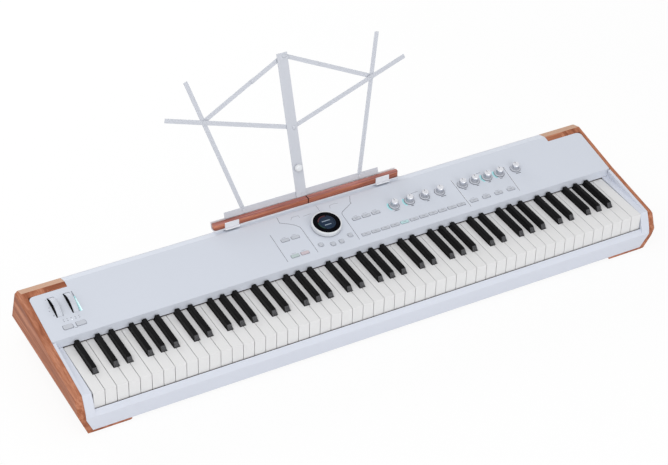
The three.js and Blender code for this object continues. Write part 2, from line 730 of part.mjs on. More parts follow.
function blackKey({ x }, index, joined) {
	const half = tailWidth / 2;
	const pieces = [blackCap(x), block(x - half, x + half, tailStart, tailEnd, tailBottom, keyTop - blackDepth + keyGap)];
	if (joined) {
		pieces.push(block(x - half, x + half, pivotDepth, combEnd, blackWebBottom, keyTop - keyPlate));
	}
	return join(...pieces);
}

// One octave as single keys; the others hang on a web behind the pivots, one web for each colour
const isSingle = ({ note }) => note <= singleLast;
layout.forEach((key, index) => {
	if (!isSingle(key)) return;
	const shape = (key.black ? blackKey : whiteKey)(key, index, false);
	const mesh = add(piano, `key_${noteNames[key.note % 12]}`, shape, key.black ? ebony : ivory);
	mesh.geometry.translate(0, -pivotDepth, -tailBottom);
	mesh.position.set(0, pivotDepth, tailBottom);
});

function keyComb(black, web) {
	const shapes = [web];
	layout.forEach((key, index) => {
		if (key.black === black && !isSingle(key)) shapes.push((black ? blackKey : whiteKey)(key, index, true));
	});
	return join(...shapes);
}
const webStart = firstKey + singleWhites * keyPitch + keyGap;
const webEnd = -firstKey - keyGap;
const webFront = tailEnd + keyGap;
const whiteWeb = block(webStart, webEnd, webFront, combEnd, tailBottom, whiteWebTop);
const blackWeb = block(webStart, webEnd, webFront, combEnd, blackWebBottom, keyTop - keyPlate);
for (const [name, black, web, material] of [['white_keys', false, whiteWeb, ivory], ['black_keys', true, blackWeb, ebony]]) {
	const comb = keyComb(black, web).translate(0, -pivotDepth, -tailBottom);
	add(piano, name, comb, material, [0, pivotDepth, tailBottom]);
}

// Feet: two rubber pads at each end, joined by a rib
for (const [side, name] of [[-1, 'left_feet'], [1, 'right_feet']]) {
	const x = side * (keyboardWidth / 2 - footInset);
	const top = panBottom - gap;
	add(piano, name, join(
		disc(x, footFront, footRadius, footSides, 0, top),
		disc(x, footRear, footRadius, footSides, 0, top),
		block(x - footWeb / 2, x + footWeb / 2, footFront, footRear, top - footWebHeight, top),
	), rubber);
}

// Music rest
const layerTop = (layer) => -gap - layer * layerPitch;

function barShape(from, to, startPad, endPad) {
	const [dx, dy] = [to[0] - from[0], to[1] - from[1]];
	const length = Math.hypot(dx, dy);
	const [ux, uy] = [dx / length, dy / length];
	const half = barWidth / 2;
	const at = (along, across) => [ux * along - uy * across, uy * along + ux * across];
	return outline([at(-startPad, -half), at(length + endPad, -half), at(length + endPad, half), at(-startPad, half)]);
}

// A flat bar whose own origin is the joint that it turns on
function bar(name, origin, to, layer, endPad, holes, extras = []) {
	const shape = barShape([0, 0], [to[0] - origin[0], to[1] - origin[1]], barWidth / 2, endPad);
	for (const [x, y] of holes) {
		shape.holes.push(new THREE.Path(ringPoints(x - origin[0], y - origin[1], turnRoom(rivetPin), pinSides)
			.map(([px, py]) => new THREE.Vector2(px, py))));
	}
	const flat = sheet(shape, layerTop(layer) - strip, layerTop(layer));
	const geometry = extras.length ? join(flat, ...extras) : flat;
	return add(rest, name, geometry, metal, [...origin, 0]);
}

// A rivet that belongs to a bar: a pin forwards from the bar's layer, and a head in front
function rivet(offset, layer, frontLayer) {
	const front = layerTop(frontLayer) + gap;
	return [
		disc(...offset, rivetPin, pinSides, layerTop(layer) - strip / 2, front + rivetHeadHeight / 2),
		disc(...offset, rivetHead, pinSides, front, front + rivetHeadHeight),
	];
}

const offsetFrom = (point, origin) => [point[0] - origin[0], point[1] - origin[1]];
for (const [side, hand, first] of [[-1, 'left', 0], [1, 'right', 1]]) {
	const flip = ([u, v]) => [side * u, v];
	const [base, middle, top, cross] = [baseJoint, midJoint, topJoint, flip(crossing)];
	const elbow = top.map((value, i) => value + elbowShare * (cross[i] - value));
	const leg = flip(legJoint);

	// The half plate that the sheet music stands on
	const edges = [-side * plateInner, side * plateHalf].sort((a, b) => a - b);
	const plate = outline([[edges[0], -plateHeight], [edges[1], -plateHeight], [edges[1], 0], [edges[0], 0]]
		.map((point) => offsetFrom(point, base)));
	for (const hole of [base, leg]) {
		plate.holes.push(new THREE.Path(ringPoints(...offsetFrom(hole, base), turnRoom(rivetPin), pinSides)
			.map(([x, y]) => new THREE.Vector2(x, y))));
	}
	const plateGeometry = sheet(plate, layerTop(first) - strip, layerTop(first));
	add(rest, `rest_plate_${hand}`, plateGeometry, metal, [...base, 0]);

	bar(`rest_leg_${hand}`, leg, flip(legTip), first + 1, 0, [], rivet([0, 0], first + 1, first));
	bar(`rest_lower_bar_${hand}`, middle, flip(lowerTip), first, 0, [middle],
		[disc(...offsetFrom(cross, middle), rivetHead, pinSides, layerTop(first) - strip / 2,
			layerTop(first) + rivetHeadHeight)]);
	bar(`rest_upper_inner_${hand}`, top, elbow, first + 1, barWidth / 2, [top, elbow]);
	const flushPin = disc(0, 0, rivetPin, pinSides, layerTop(first + 2) - strip / 2, layerTop(first + 1));
	bar(`rest_upper_outer_${hand}`, elbow, cross, first + 2, barWidth / 2, [], [flushPin]);
}

// Post with the three pins that the bars turn on, and a hole for the thumb screw
const postEdges = [postMiddle - postWidth / 2, postMiddle + postWidth / 2];
const postShape = outline([[postEdges[0], postBottom], [postEdges[1], postBottom],
	[postEdges[1], postTop], [postEdges[0], postTop]]);
postShape.holes.push(new THREE.Path(ringPoints(postMiddle, knobPlaceOnPost, turnRoom(thumbScrew), pinSides)
	.map(([x, y]) => new THREE.Vector2(x, y))));
function postPin([u, v], lastLayer, headed) {
	const back = layerTop(lastLayer) - strip - gap / 2;
	const pin = disc(u, v, rivetPin, pinSides, back, postWall / 2);
	const front = disc(u, v, rivetHead, pinSides, postWall / 2, postWall + rivetHeadHeight);
	const head = disc(u, v, rivetHead, pinSides, back - gap / 2 - rivetHeadHeight, back);
	return headed ? [pin, front, head] : [pin, front];
}
add(rest, 'rest_post', join(sheet(postShape, 0, postWall), ...postPin(baseJoint, 1, false),
	...postPin(midJoint, 1, true), ...postPin(topJoint, 2, true)), metal);

// Thumb knob with its screw
const tongueFront = layerTop(2);
const thumb = turned([
	[0, tongueFront + gap], [thumbScrew, tongueFront + gap], [thumbScrew, postWall + gap],
	[thumbRadius, postWall + gap], [thumbRadius, postWall + thumbHeight], [0, postWall + thumbHeight],
], knobSides);
add(rest, 'rest_thumb_knob', thumb, white, [postMiddle, knobPlaceOnPost, 0]);

// Bracket: the shelf below the wood, its upright back, two tabs, a tongue for the post and two straps
function restPoint(v, w) {
	return [restFoot[0] + v * Math.sin(lean) - w * Math.cos(lean), restFoot[1] + v * Math.cos(lean) + w * Math.sin(lean)];
}
const shelfTop = ledge.bottom - gap;
const backFront = (v) => restPoint(v, tongueFront);
const backRear = (v) => restPoint(v, tongueFront - bracketWall);
const footV = (shelfTop - bracketWall - restFoot[1]) / Math.cos(lean);
const tabFront = ledge.front - bracketWall / 2;
const shelf = [
	[tabFront, shelfTop - bracketWall], backRear(footV), backRear(backLipTop), backFront(backLipTop),
	backFront(footV + bracketWall), [tabFront, shelfTop],
];
const tongue = [backRear(footV), backRear(tongueTop), backFront(tongueTop), backFront(footV)];
const backTop = [edge.rearBevel, edge.rearBelt];
const along = strapReach / Math.hypot(backTop[1][0] - backTop[0][0], backTop[1][1] - backTop[0][1]);
const strapFoot = backTop[0].map((value, i) => value + along * (backTop[1][i] - value));
const strapStart = [edge.rearTop[0] + bracketWall, shelfTop - bracketWall];
const strapLine = inset([strapStart, edge.rearBevel, strapFoot], -gap);
const strapOuter = inset([strapStart, edge.rearBevel, strapFoot], -gap - bracketWall);
strapLine[0][1] = shelfTop - bracketWall;
strapOuter[0][1] = shelfTop;
const strap = [...strapLine, ...strapOuter.reverse()];
const tabPieces = [-1, 1].flatMap((side) => {
	const middle = ledge.middle + side * tab.place;
	const [left, right] = [middle - tab.width / 2, middle + tab.width / 2];
	const upright = block(left, right, tabFront, tabFront + bracketWall, shelfTop - bracketWall, shelfTop + tab.height);
	return [upright, profile(strap, left, right)];
});
add(piano, 'rest_bracket', join(
	profile(shelf, ledge.middle - ledge.half, ledge.middle + ledge.half),
	profile(tongue, restMiddle + postMiddle - tongueWidth / 2, restMiddle + postMiddle + tongueWidth / 2),
	...tabPieces,
), metal);

// The two pieces of wood on the shelf, each notched for its tab and rounded at its outer end
for (const [side, name] of [[-1, 'ledge_wood_left'], [1, 'ledge_wood_right']]) {
	const inner = ledge.middle + side * ledgeJoint;
	const outer = ledge.middle + side * ledge.half;
	const back = ledge.front + ledge.depth;
	const plan = new THREE.Shape();
	plan.moveTo(inner, ledge.front);
	plan.lineTo(outer - side * ledge.round, ledge.front);
	plan.quadraticCurveTo(outer, ledge.front, outer, ledge.front + ledge.round);
	plan.lineTo(outer, back);
	plan.lineTo(inner, back);
	const body = sheet(plan, ledge.bottom, ledge.bottom + ledge.height);
	const middle = ledge.middle + side * tab.place;
	const half = tab.width / 2 + gap;
	const notch = block(middle - half, middle + half, ledge.front - overrun, tabFront + bracketWall + gap,
		ledge.bottom - overrun, ledge.bottom + ledge.height + overrun);
	add(piano, name, cut(body, notch), wood);
}

// The origin lies on the floor, below the middle of the assembly's outline
const bounds = new THREE.Box3().setFromObject(piano, true);
piano.position.y = -(bounds.min.y + bounds.max.y) / 2;
piano.updateMatrixWorld(true);

export default piano;
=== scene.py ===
"""An 88-key stage piano with wooden ends and a folding music rest, on a pale studio floor."""
import math

import bpy
import bmesh
from mathutils import Matrix, Vector


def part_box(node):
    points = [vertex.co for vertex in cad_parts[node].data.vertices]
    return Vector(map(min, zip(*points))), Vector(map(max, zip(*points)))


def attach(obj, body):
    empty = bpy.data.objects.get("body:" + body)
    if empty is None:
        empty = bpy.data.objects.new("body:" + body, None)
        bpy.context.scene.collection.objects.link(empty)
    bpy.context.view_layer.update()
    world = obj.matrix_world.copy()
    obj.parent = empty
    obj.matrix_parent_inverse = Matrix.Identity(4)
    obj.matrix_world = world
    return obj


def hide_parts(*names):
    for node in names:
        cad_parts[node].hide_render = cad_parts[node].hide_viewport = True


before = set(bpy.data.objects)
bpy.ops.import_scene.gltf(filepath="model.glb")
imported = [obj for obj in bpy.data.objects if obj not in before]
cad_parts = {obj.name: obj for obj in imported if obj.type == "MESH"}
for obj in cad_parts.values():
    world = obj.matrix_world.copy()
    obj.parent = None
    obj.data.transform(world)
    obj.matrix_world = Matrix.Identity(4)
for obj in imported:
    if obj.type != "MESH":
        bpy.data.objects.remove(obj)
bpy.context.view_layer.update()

MM = 0.001


def in_metres(rows):
    """Rows of millimetres as rows of metres."""
    return [tuple(value * MM for value in row) for row in rows]


# Keyboard, in the frame's own metres
KEY_PITCH = 23.5 * MM
KEY_GAP = 1.0 * MM
KEY_TOP = 92 * MM
KEY_FRONT_Y = -191.7604 * MM
KEY_FRONT_HEIGHT = 38 * MM
KEY_PLATE = 6 * MM
KEY_APRON = 3 * MM
WHITE_END = 146 * MM
WHITE_EDGE = 0.55 * MM
BLACK_FRONT = 48.5 * MM
BLACK_END = 140.5 * MM
BLACK_HEIGHT = 12 * MM
BLACK_TOP_WIDTH = 9 * MM
BLACK_BASE_WIDTH = 11.5 * MM
BLACK_NOSE_SLOPE = 9 * MM
BLACK_DEPTH = 8 * MM
BLACK_RIM = 1.1 * MM
BLACK_EDGE = 0.7 * MM
# Two levels round off a black key: how far they lie along its taper and its nose, and below its top
SHOULDER_TAPER_SHARE = 0.35
SHOULDER_NOSE_SHARE = 0.62
SHOULDER_DROP = 2.6 * MM
BROW_NOSE_SHARE = 0.86
BROW_DROP = 0.9 * MM
TAIL_START = 96 * MM
TAIL_END = 218 * MM
TAIL_BOTTOM = 70 * MM
TAIL_WIDTH = 8 * MM
KEY_COUNT = 88
LOWEST_NOTE = 21
SINGLE_LAST = 32
WHITE_COUNT = 52
BLACK_SHIFT_SHARES = {1: -0.09, 3: 0.09, 6: -0.13, 8: 0.0, 10: 0.13}
NOTE_NAMES = ("c", "c_sharp", "d", "d_sharp", "e", "f", "f_sharp", "g", "g_sharp", "a", "a_sharp", "b")
OCTAVE = len(NOTE_NAMES)
FIRST_KEY_X = -KEY_PITCH * WHITE_COUNT / 2

# Sloping panel: its lip, and how steeply it climbs
LIP_Y = KEY_FRONT_Y + 146 * MM
LIP_Z = 110.5 * MM
PANEL_RUN = 129.7 * MM
PANEL_RISE = 25.5 * MM
SLOPE = math.atan2(PANEL_RISE, PANEL_RUN)

# Music rest: its foot, and how far it leans back
REST_X = -23 * MM
REST_Y = KEY_FRONT_Y + 300 * MM
REST_Z = 166 * MM
REST_LEAN = math.radians(17.8)
POST_MIDDLE = -4.2 * MM

DECK = Matrix.Translation((FIRST_KEY_X, LIP_Y, LIP_Z)) @ Matrix.Rotation(SLOPE, 4, "X")
REST = Matrix.Translation((REST_X, REST_Y, REST_Z)) @ Matrix.Rotation(math.pi / 2 - REST_LEAN, 4, "X")

# Camera of the photograph
LENS = 105.07
SENSOR = 36.0
CLIP_END = 50.0
CAMERA_AT = Vector((-1.5484, -2.71296, 2.4601))
CAMERA_RIGHT = Vector((0.8779, -0.4783, 0.0234))
CAMERA_UP = Vector((0.2703, 0.5352, 0.8003))

# Rounded edges: usual segments, segments of finer ones, and the least angle between faces, in degrees
EDGE_SEGMENTS = 2
FINE_SEGMENTS = 3
EDGE_ANGLE = 35

# Sides of the small round pieces: round buttons, rivets and screws
SMALL_SIDES = 24

# Printed marks, and the painted shade and highlights drawn like them, lie between these heights above the
# panel
MARK_LOW = 0.01 * MM
MARK_HIGH = 0.05 * MM

# Where most noise values lie, and where a tint is at its darkest and lightest
NOISE_RANGE = (0.3, 0.7)
TINT_LOW = 0.35
TINT_HIGH = 0.65
RAMP_MIDDLE = 0.5

# Sockets of the mix node for each kind of value: first input, second input and result
MIX_SOCKETS = {"FLOAT": (2, 3, 0), "VECTOR": (4, 5, 1), "RGBA": (6, 7, 2)}

# The grain of the ends turns where y less the distance from the middle passes this
MITRE_JOINT = -0.512
MITRE_BLUR = 0.4 * MM

# Share of the fine lines in the wood's grain, and how dark its pores are
LINES_SHARE = 0.42
PORE_SHADE = 0.6

# Painted shade: the front of the ledge darkens between these heights
LEDGE_SHADE = (0.1495, 0.1425)


class Paint:
    """A node material, built up step by step on object coordinates."""

    def __init__(self, name, color, roughness, metallic=0.0, specular=0.5):
        self.material = bpy.data.materials.new(name)
        self.material.use_nodes = True
        self.material.diffuse_color = (*color, 1.0)
        self.tree = self.material.node_tree
        self.shader = self.tree.nodes["Principled BSDF"]
        self.color = color
        self.shade("Base Color", (*color, 1.0))
        self.shade("Roughness", roughness)
        self.shade("Metallic", metallic)
        self.shade("Specular IOR Level", specular)
        self.coordinates = self.node("ShaderNodeTexCoord").outputs["Object"]

    def feed(self, socket, value):
        """Links a socket to another, or sets its value."""
        if isinstance(value, bpy.types.NodeSocket):
            self.tree.links.new(value, socket)
        else:
            socket.default_value = value

    def node(self, kind, inputs=None, **settings):
        made = self.tree.nodes.new(kind)
        for key, value in settings.items():
            setattr(made, key, value)
        for key, value in (inputs or {}).items():
            self.feed(made.inputs[key], value)
        return made

    def shade(self, name, value):
        self.feed(self.shader.inputs[name], value)

    def noise(self, scale, detail=3.0, stretch=(1, 1, 1), distortion=0.0):
        mapping = self.node("ShaderNodeMapping", {"Scale": stretch, "Vector": self.coordinates})
        texture = self.node("ShaderNodeTexNoise", {
            "Scale": scale, "Detail": detail, "Distortion": distortion, "Vector": mapping.outputs["Vector"]})
        return texture.outputs["Fac"]

    def ramp(self, source, stops):
        ramp = self.node("ShaderNodeValToRGB", {"Fac": source})
        elements = ramp.color_ramp.elements
        while len(elements) < len(stops):
            elements.new(RAMP_MIDDLE)
        for element, (place, color) in zip(elements, stops):
            element.position = place
            element.color = (*color, 1.0)
        return ramp.outputs["Color"]

    def span(self, source, start, stop, low=0.0, high=1.0):
        """A value that goes from low to high while the source goes from start to stop."""
        return self.node("ShaderNodeMapRange", {
            "Value": source, "From Min": start, "From Max": stop, "To Min": low, "To Max": high,
        }).outputs["Result"]

    def mix(self, kind, factor, first, second, **settings):
        first_input, second_input, result = MIX_SOCKETS[kind]
        inputs = {0: factor, first_input: first, second_input: second}
        return self.node("ShaderNodeMix", inputs, data_type=kind, **settings).outputs[result]

    def blend(self, mask, color, other, kind="MULTIPLY"):
        return self.mix("RGBA", mask, color, (*other, 1.0), blend_type=kind)

    def split(self):
        return self.node("ShaderNodeSeparateXYZ", {"Vector": self.coordinates}).outputs

    def height(self, start, stop):
        return self.span(self.split()["Z"], start, stop)

    def facing(self, direction, start, stop):
        """1 on faces that look in a direction, from the cosine of the angle between the two."""
        normal = self.node("ShaderNodeNewGeometry").outputs["Normal"]
        inputs = {0: normal, 1: Vector(direction).normalized()}
        dot = self.node("ShaderNodeVectorMath", inputs, operation="DOT_PRODUCT")
        return self.span(dot.outputs["Value"], start, stop)

    def mitre(self, joint):
        """Exchanges x and y behind a diagonal joint at each back corner, so that the grain turns there."""
        split = self.split()
        aside = self.node("ShaderNodeMath", {0: split["X"]}, operation="ABSOLUTE").outputs[0]
        behind = self.node("ShaderNodeMath", {0: split["Y"], 1: aside}, operation="SUBTRACT").outputs[0]
        turned = self.node("ShaderNodeCombineXYZ", {"X": split["Y"], "Y": split["X"], "Z": split["Z"]})
        mask = self.span(behind, joint, joint + MITRE_BLUR)
        self.coordinates = self.mix("VECTOR", mask, self.coordinates, turned.outputs[0])

    def tint(self, source, share):
        """Makes the paint's own colour a little darker and lighter along a noise."""
        low = tuple(c * (1 - share) for c in self.color)
        high = tuple(min(1.0, c * (1 + share)) for c in self.color)
        body = self.ramp(source, [(TINT_LOW, low), (TINT_HIGH, high)])
        self.shade("Base Color", body)
        return body

    def roughness(self, source, low, high):
        self.shade("Roughness", self.span(source, *NOISE_RANGE, low, high))

    def bump(self, source, height, strength):
        bump = self.node("ShaderNodeBump", {"Strength": strength, "Distance": height, "Height": source})
        self.shade("Normal", bump.outputs["Normal"])


def satin_paint(name, color, upright_shade=None):
    """Satin paint, on request with painted shade on faces that look backwards."""
    paint = Paint(name, color, roughness=0.42, specular=0.4)
    body = paint.tint(paint.noise(scale=3.0), share=0.008)
    if upright_shade:
        mask = paint.facing((0, 1, 0), start=0.6, stop=0.85)
        paint.shade("Base Color", paint.blend(mask, body, upright_shade))
    paint.roughness(paint.noise(scale=18.0), low=0.38, high=0.48)
    paint.bump(paint.noise(scale=1400.0, detail=2.0), height=0.012 * MM, strength=0.5)
    return paint.material


def stretched(axis, across, along):
    """Scales of a noise on x, y and z that draw it out along one axis."""
    return [along if letter == axis else across for letter in "xyz"]


def wood(name, colors, axis, roughness, specular, painted_light, joint=None):
    """Wood with its grain running along one axis: broad bands, fine lines and small pores, then painted light
    from the given function.
    """
    dark, middle, light = colors
    paint = Paint(name, middle, roughness, specular=specular)
    if joint:
        paint.mitre(joint)
    bands = paint.noise(scale=2.6, detail=4.0, stretch=stretched(axis, across=22.0, along=1.8),
                        distortion=0.7)
    lines = paint.noise(scale=2.4, detail=6.0, stretch=stretched(axis, across=90.0, along=3.0),
                        distortion=0.3)
    pores = paint.noise(scale=2.0, detail=2.0, stretch=stretched(axis, across=420.0, along=22.0))
    grain = paint.mix("FLOAT", LINES_SHARE, bands, lines)
    body = paint.ramp(grain, [(0.38, dark), (0.5, middle), (0.62, light)])
    pore_mask = paint.span(pores, *NOISE_RANGE, low=0.3, high=0.0)
    body = paint.blend(pore_mask, body, [c * PORE_SHADE for c in dark])
    paint.shade("Base Color", painted_light(paint, body))
    paint.roughness(lines, low=roughness - 0.06, high=roughness + 0.08)
    paint.bump(lines, height=0.05 * MM, strength=0.35)
    return paint.material


def case_painted_sheen(paint, body):
    """Painted sheen: the bevel along the back of the wooden ends is paler, as if it caught the light."""
    mask = paint.facing((0, 0.3, 1), start=0.93, stop=0.98)
    return paint.blend(mask, body, (0.54, 0.34, 0.24), "MIX")


def rail_painted_light(paint, body):
    """Painted reflection: a cooler top. Painted shade: a front that darkens towards its lower edge."""
    top = paint.facing((0, 0, 1), start=0.3, stop=0.7)
    body = paint.blend(top, body, (0.80, 0.84, 1.25))
    return paint.blend(paint.height(*LEDGE_SHADE), body, (0.50, 0.40, 0.42))


def ivory_plastic():
    paint = Paint("white key plastic", (0.73, 0.73, 0.735), roughness=0.3, specular=0.4)
    paint.tint(paint.noise(scale=9.0), share=0.004)
    paint.roughness(paint.noise(scale=60.0), low=0.28, high=0.34)
    paint.bump(paint.noise(scale=900.0), height=0.004 * MM, strength=0.3)
    return paint.material


def ebony_plastic(name, color):
    paint = Paint(name, color, roughness=0.4, specular=0.07)
    grain = paint.noise(scale=3.0, detail=5.0, stretch=stretched("y", across=300.0, along=18.0))
    paint.tint(grain, share=0.5)
    paint.roughness(grain, low=0.34, high=0.5)
    paint.bump(grain, height=0.04 * MM, strength=0.4)
    return paint.material


def moulded(name, color, roughness=0.4, grain=1800.0, spread=0.02, specular=0.5):
    paint = Paint(name, color, roughness, specular=specular)
    paint.tint(paint.noise(scale=40.0), share=spread)
    paint.bump(paint.noise(scale=grain, detail=2.0), height=0.015 * MM, strength=0.5)
    paint.roughness(paint.noise(scale=120.0), low=roughness - 0.05, high=roughness + 0.07)
    return paint.material


def metal(name, color, roughness, stretch=(1.0, 1.0, 1.0)):
    paint = Paint(name, color, roughness, metallic=1.0)
    streaks = paint.noise(scale=220.0, stretch=stretch)
    paint.tint(streaks, share=0.06)
    paint.roughness(streaks, low=roughness - 0.06, high=roughness + 0.1)
    paint.bump(streaks, height=0.01 * MM, strength=0.4)
    return paint.material


def glow(name, color, strength):
    paint = Paint(name, color, roughness=0.35, specular=0.1)
    shade = paint.noise(scale=300.0)
    paint.tint(shade, share=0.08)
    paint.shade("Emission Color", paint.ramp(shade, [(0.2, color), (0.8, color)]))
    paint.shade("Emission Strength", strength)
    return paint.material


def polished_black():
    paint = Paint("display glass", (0.0035, 0.0035, 0.005), roughness=0.06, specular=0.01)
    paint.tint(paint.noise(scale=90.0), share=0.2)
    return paint.material


def board_laminate():
    paint = Paint("board laminate", (0.03, 0.13, 0.06), roughness=0.35)
    weave = paint.noise(scale=700.0, detail=1.0)
    paint.tint(weave, share=0.2)
    paint.bump(weave, height=0.02 * MM, strength=0.5)
    return paint.material


CASE_WOOD = ((0.31, 0.106, 0.055), (0.44, 0.168, 0.091), (0.59, 0.265, 0.160))
RAIL_WOOD = ((0.33, 0.090, 0.044), (0.53, 0.170, 0.088), (0.70, 0.265, 0.150))
# Painted shade on the upright faces that look backwards
UPRIGHT_SHADE = (0.70, 0.71, 0.73)

materials = {
    "panel": satin_paint("panel paint", (0.63, 0.665, 0.74)),
    "back": satin_paint("back panel paint", (0.76, 0.77, 0.81), UPRIGHT_SHADE),
    "nose": satin_paint("front moulding paint", (0.64, 0.67, 0.75)),
    "rest": satin_paint("rest paint", (0.565, 0.585, 0.64)),
    "tab": satin_paint("rest bracket paint", (0.77, 0.78, 0.82), UPRIGHT_SHADE),
    "wood_y": wood("case wood", CASE_WOOD, "y", roughness=0.5, specular=0.08, painted_light=case_painted_sheen,
                   joint=MITRE_JOINT),
    "rail": wood("rail wood", RAIL_WOOD, "x", roughness=0.26, specular=0.5, painted_light=rail_painted_light),
    "ivory": ivory_plastic(),
    "ebony": ebony_plastic("black key plastic", (0.005, 0.005, 0.0055)),
    # Paler black plastic for the lower slope of each black key's nose: a painted reflection
    "ebony_nose_reflection": ebony_plastic("black key nose painted reflection", (0.075, 0.075, 0.08)),
    # Dark felted cloth, also a painted shadow in the gap in front of the keys
    "felt": moulded("dark felted cloth and painted shadow", (0.022, 0.008, 0.009), roughness=0.9, grain=600.0, spread=0.3, specular=0.1),
    "button": moulded("button plastic", (0.52, 0.545, 0.60)),
    "button_green": moulded("green tinted button", (0.47, 0.56, 0.56)),
    "button_red": moulded("red tinted button", (0.58, 0.50, 0.54)),
    "wheel": moulded("wheel plastic", (0.57, 0.60, 0.665), roughness=0.36),
    "black": moulded("black plastic", (0.003, 0.003, 0.004), roughness=0.5, specular=0.06),
    "ring": moulded("display ring plastic", (0.74, 0.76, 0.79), roughness=0.24),
    "ring_foot": moulded("display ring foot", (0.25, 0.26, 0.29)),
    "knob": metal("knob metal", (0.70, 0.71, 0.75), roughness=0.3),
    "knob_side": moulded("knob skirt", (0.54, 0.56, 0.62), roughness=0.35),
    "knob_flute": moulded("knob flute", (0.35, 0.365, 0.405)),
    "steel": metal("plated steel", (0.52, 0.53, 0.55), roughness=0.38, stretch=(1.0, 0.1, 1.0)),
    "screw": metal("screw steel", (0.32, 0.33, 0.35), roughness=0.3),
    "rubber": moulded("foot rubber", (0.022, 0.022, 0.024), roughness=0.75, grain=500.0, spread=0.15),
    "glass": polished_black(),
    "laminate": board_laminate(),
    # Dark grey printing, also the painted shade of the engraved dividers
    "print": moulded("printed grey", (0.10, 0.105, 0.13), roughness=0.5, specular=0.2),
    # Soft grey printing, also painted shade round the buttons
    "print_soft": moulded("soft grey ink and painted shade", (0.26, 0.275, 0.32), roughness=0.5, specular=0.2),
    "print_pale": moulded("pale printed grey", (0.42, 0.44, 0.49), roughness=0.5, specular=0.2),
    "print_light": moulded("painted highlight of the engraving", (0.86, 0.89, 0.94), roughness=0.5),
    "led": glow("cyan light", (0.62, 0.88, 0.90), 0.42),
    "led_soft": glow("soft cyan light", (0.46, 0.64, 0.66), 0.06),
    "led_haze": glow("cyan painted glow", (0.36, 0.66, 0.70), 0.16),
    "led_white": glow("white light", (0.85, 0.88, 0.95), 0.5),
    "screen_blue": glow("screen blue", (0.010, 0.022, 0.045), 0.2),
    "screen_line": glow("screen lines", (0.22, 0.27, 0.33), 0.4),
    "screen_red": glow("screen red", (0.060, 0.020, 0.024), 0.3),
    "screen_green": glow("screen green", (0.012, 0.036, 0.030), 0.3),
}


def piece(name, bm, material, body, node=None, edge=0, segments=EDGE_SEGMENTS, matrix=None):
    """A named object from a bmesh, riding on a body, its edges rounded where a width is given."""
    if matrix is not None:
        bm.transform(matrix)
    bmesh.ops.recalc_face_normals(bm, faces=bm.faces)
    mesh = bpy.data.meshes.new(name)
    bm.to_mesh(mesh)
    bm.free()
    for face in mesh.polygons:
        face.use_smooth = True
    obj = bpy.data.objects.new(name, mesh)
    bpy.context.scene.collection.objects.link(obj)
    for one in material if isinstance(material, tuple) else [material]:
        mesh.materials.append(materials[one])
    round_edges(obj, edge, segments)
    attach(obj, body)
    if node:
        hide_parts(node)


def turned_piece(name, profile, sides, place, material, body, node=None):
    """A piece that is a single shape of revolution, without rounded edges."""
    bm = bmesh.new()
    add_turned(bm, profile, sides)
    piece(name, bm, material, body, node, matrix=place)


def round_edges(obj, width, segments, angle=EDGE_ANGLE):
    if not width:
        return
    bevel = obj.modifiers.new("rounded edges", "BEVEL")
    bevel.width = width
    bevel.segments = segments
    bevel.limit_method = "ANGLE"
    bevel.angle_limit = math.radians(angle)
    bevel.harden_normals = True
    bevel.use_clamp_overlap = True


def add_block(bm, low, high, material=0):
    corners = [bm.verts.new((x, y, z)) for z in (low[2], high[2]) for x, y in
               ((low[0], low[1]), (high[0], low[1]), (high[0], high[1]), (low[0], high[1]))]
    for quad in ((0, 3, 2, 1), (4, 5, 6, 7), (0, 1, 5, 4), (1, 2, 6, 5), (2, 3, 7, 6), (3, 0, 4, 7)):
        bm.faces.new([corners[i] for i in quad]).material_index = material
    return corners


def add_sheet(bm, outline, low, high):
    """A flat outline raised between two heights."""
    bottom = [bm.verts.new((x, y, low)) for x, y in outline]
    top = [bm.verts.new((x, y, high)) for x, y in outline]
    bm.faces.new(bottom[::-1])
    bm.faces.new(top)
    for i in range(len(outline)):
        j = (i + 1) % len(outline)
        bm.faces.new((bottom[i], bottom[j], top[j], top[i]))


def on_circle(radius, index, count):
    angle = 2 * math.pi * index / count
    return radius * math.cos(angle), radius * math.sin(angle)


def add_turned(bm, profile, sides, bands=None):
    """A shape of revolution from radius and height pairs that start and end on the axis."""
    rings = []
    for radius, height in profile:
        count = sides if radius else 1
        rings.append([bm.verts.new((*on_circle(radius, i, count), height)) for i in range(count)])
    for index, (low, high) in enumerate(zip(rings, rings[1:])):
        for i in range(sides):
            j = (i + 1) % sides
            corners = [low[i % len(low)], low[j % len(low)], high[j % len(high)], high[i % len(high)]]
            face = bm.faces.new([v for k, v in enumerate(corners) if v not in corners[:k]])
            face.material_index = bands[index] if bands else 0


def add_ring(bm, profile, sides, bands):
    """A closed profile of radius and height pairs swept round the axis, its last pair repeating the first."""
    loops = [[bm.verts.new((*on_circle(r, i, sides), z)) for i in range(sides)] for r, z in profile[:-1]]
    for low, high, band in zip(loops, loops[1:] + loops[:1], bands):
        for i in range(sides):
            j = (i + 1) % sides
            bm.faces.new((low[i], low[j], high[j], high[i])).material_index = band


def add_arc(bm, inner, outer, start, stop, low, high, steps):
    """A flat ring or part of one between two heights."""
    full = abs(stop - start) >= 360
    count = steps if full else steps + 1
    rows = []
    for k in range(count):
        a = math.radians(start + (stop - start) * k / steps)
        rows.append([bm.verts.new((r * math.cos(a), r * math.sin(a), z)) for r, z in
                     ((inner, low), (outer, low), (outer, high), (inner, high))])
    for k in range(steps):
        a, b = rows[k], rows[(k + 1) % count]
        for i in range(4):
            j = (i + 1) % 4
            bm.faces.new((a[i], a[j], b[j], b[i]))
    if not full:
        bm.faces.new(rows[0][::-1])
        bm.faces.new(rows[-1])


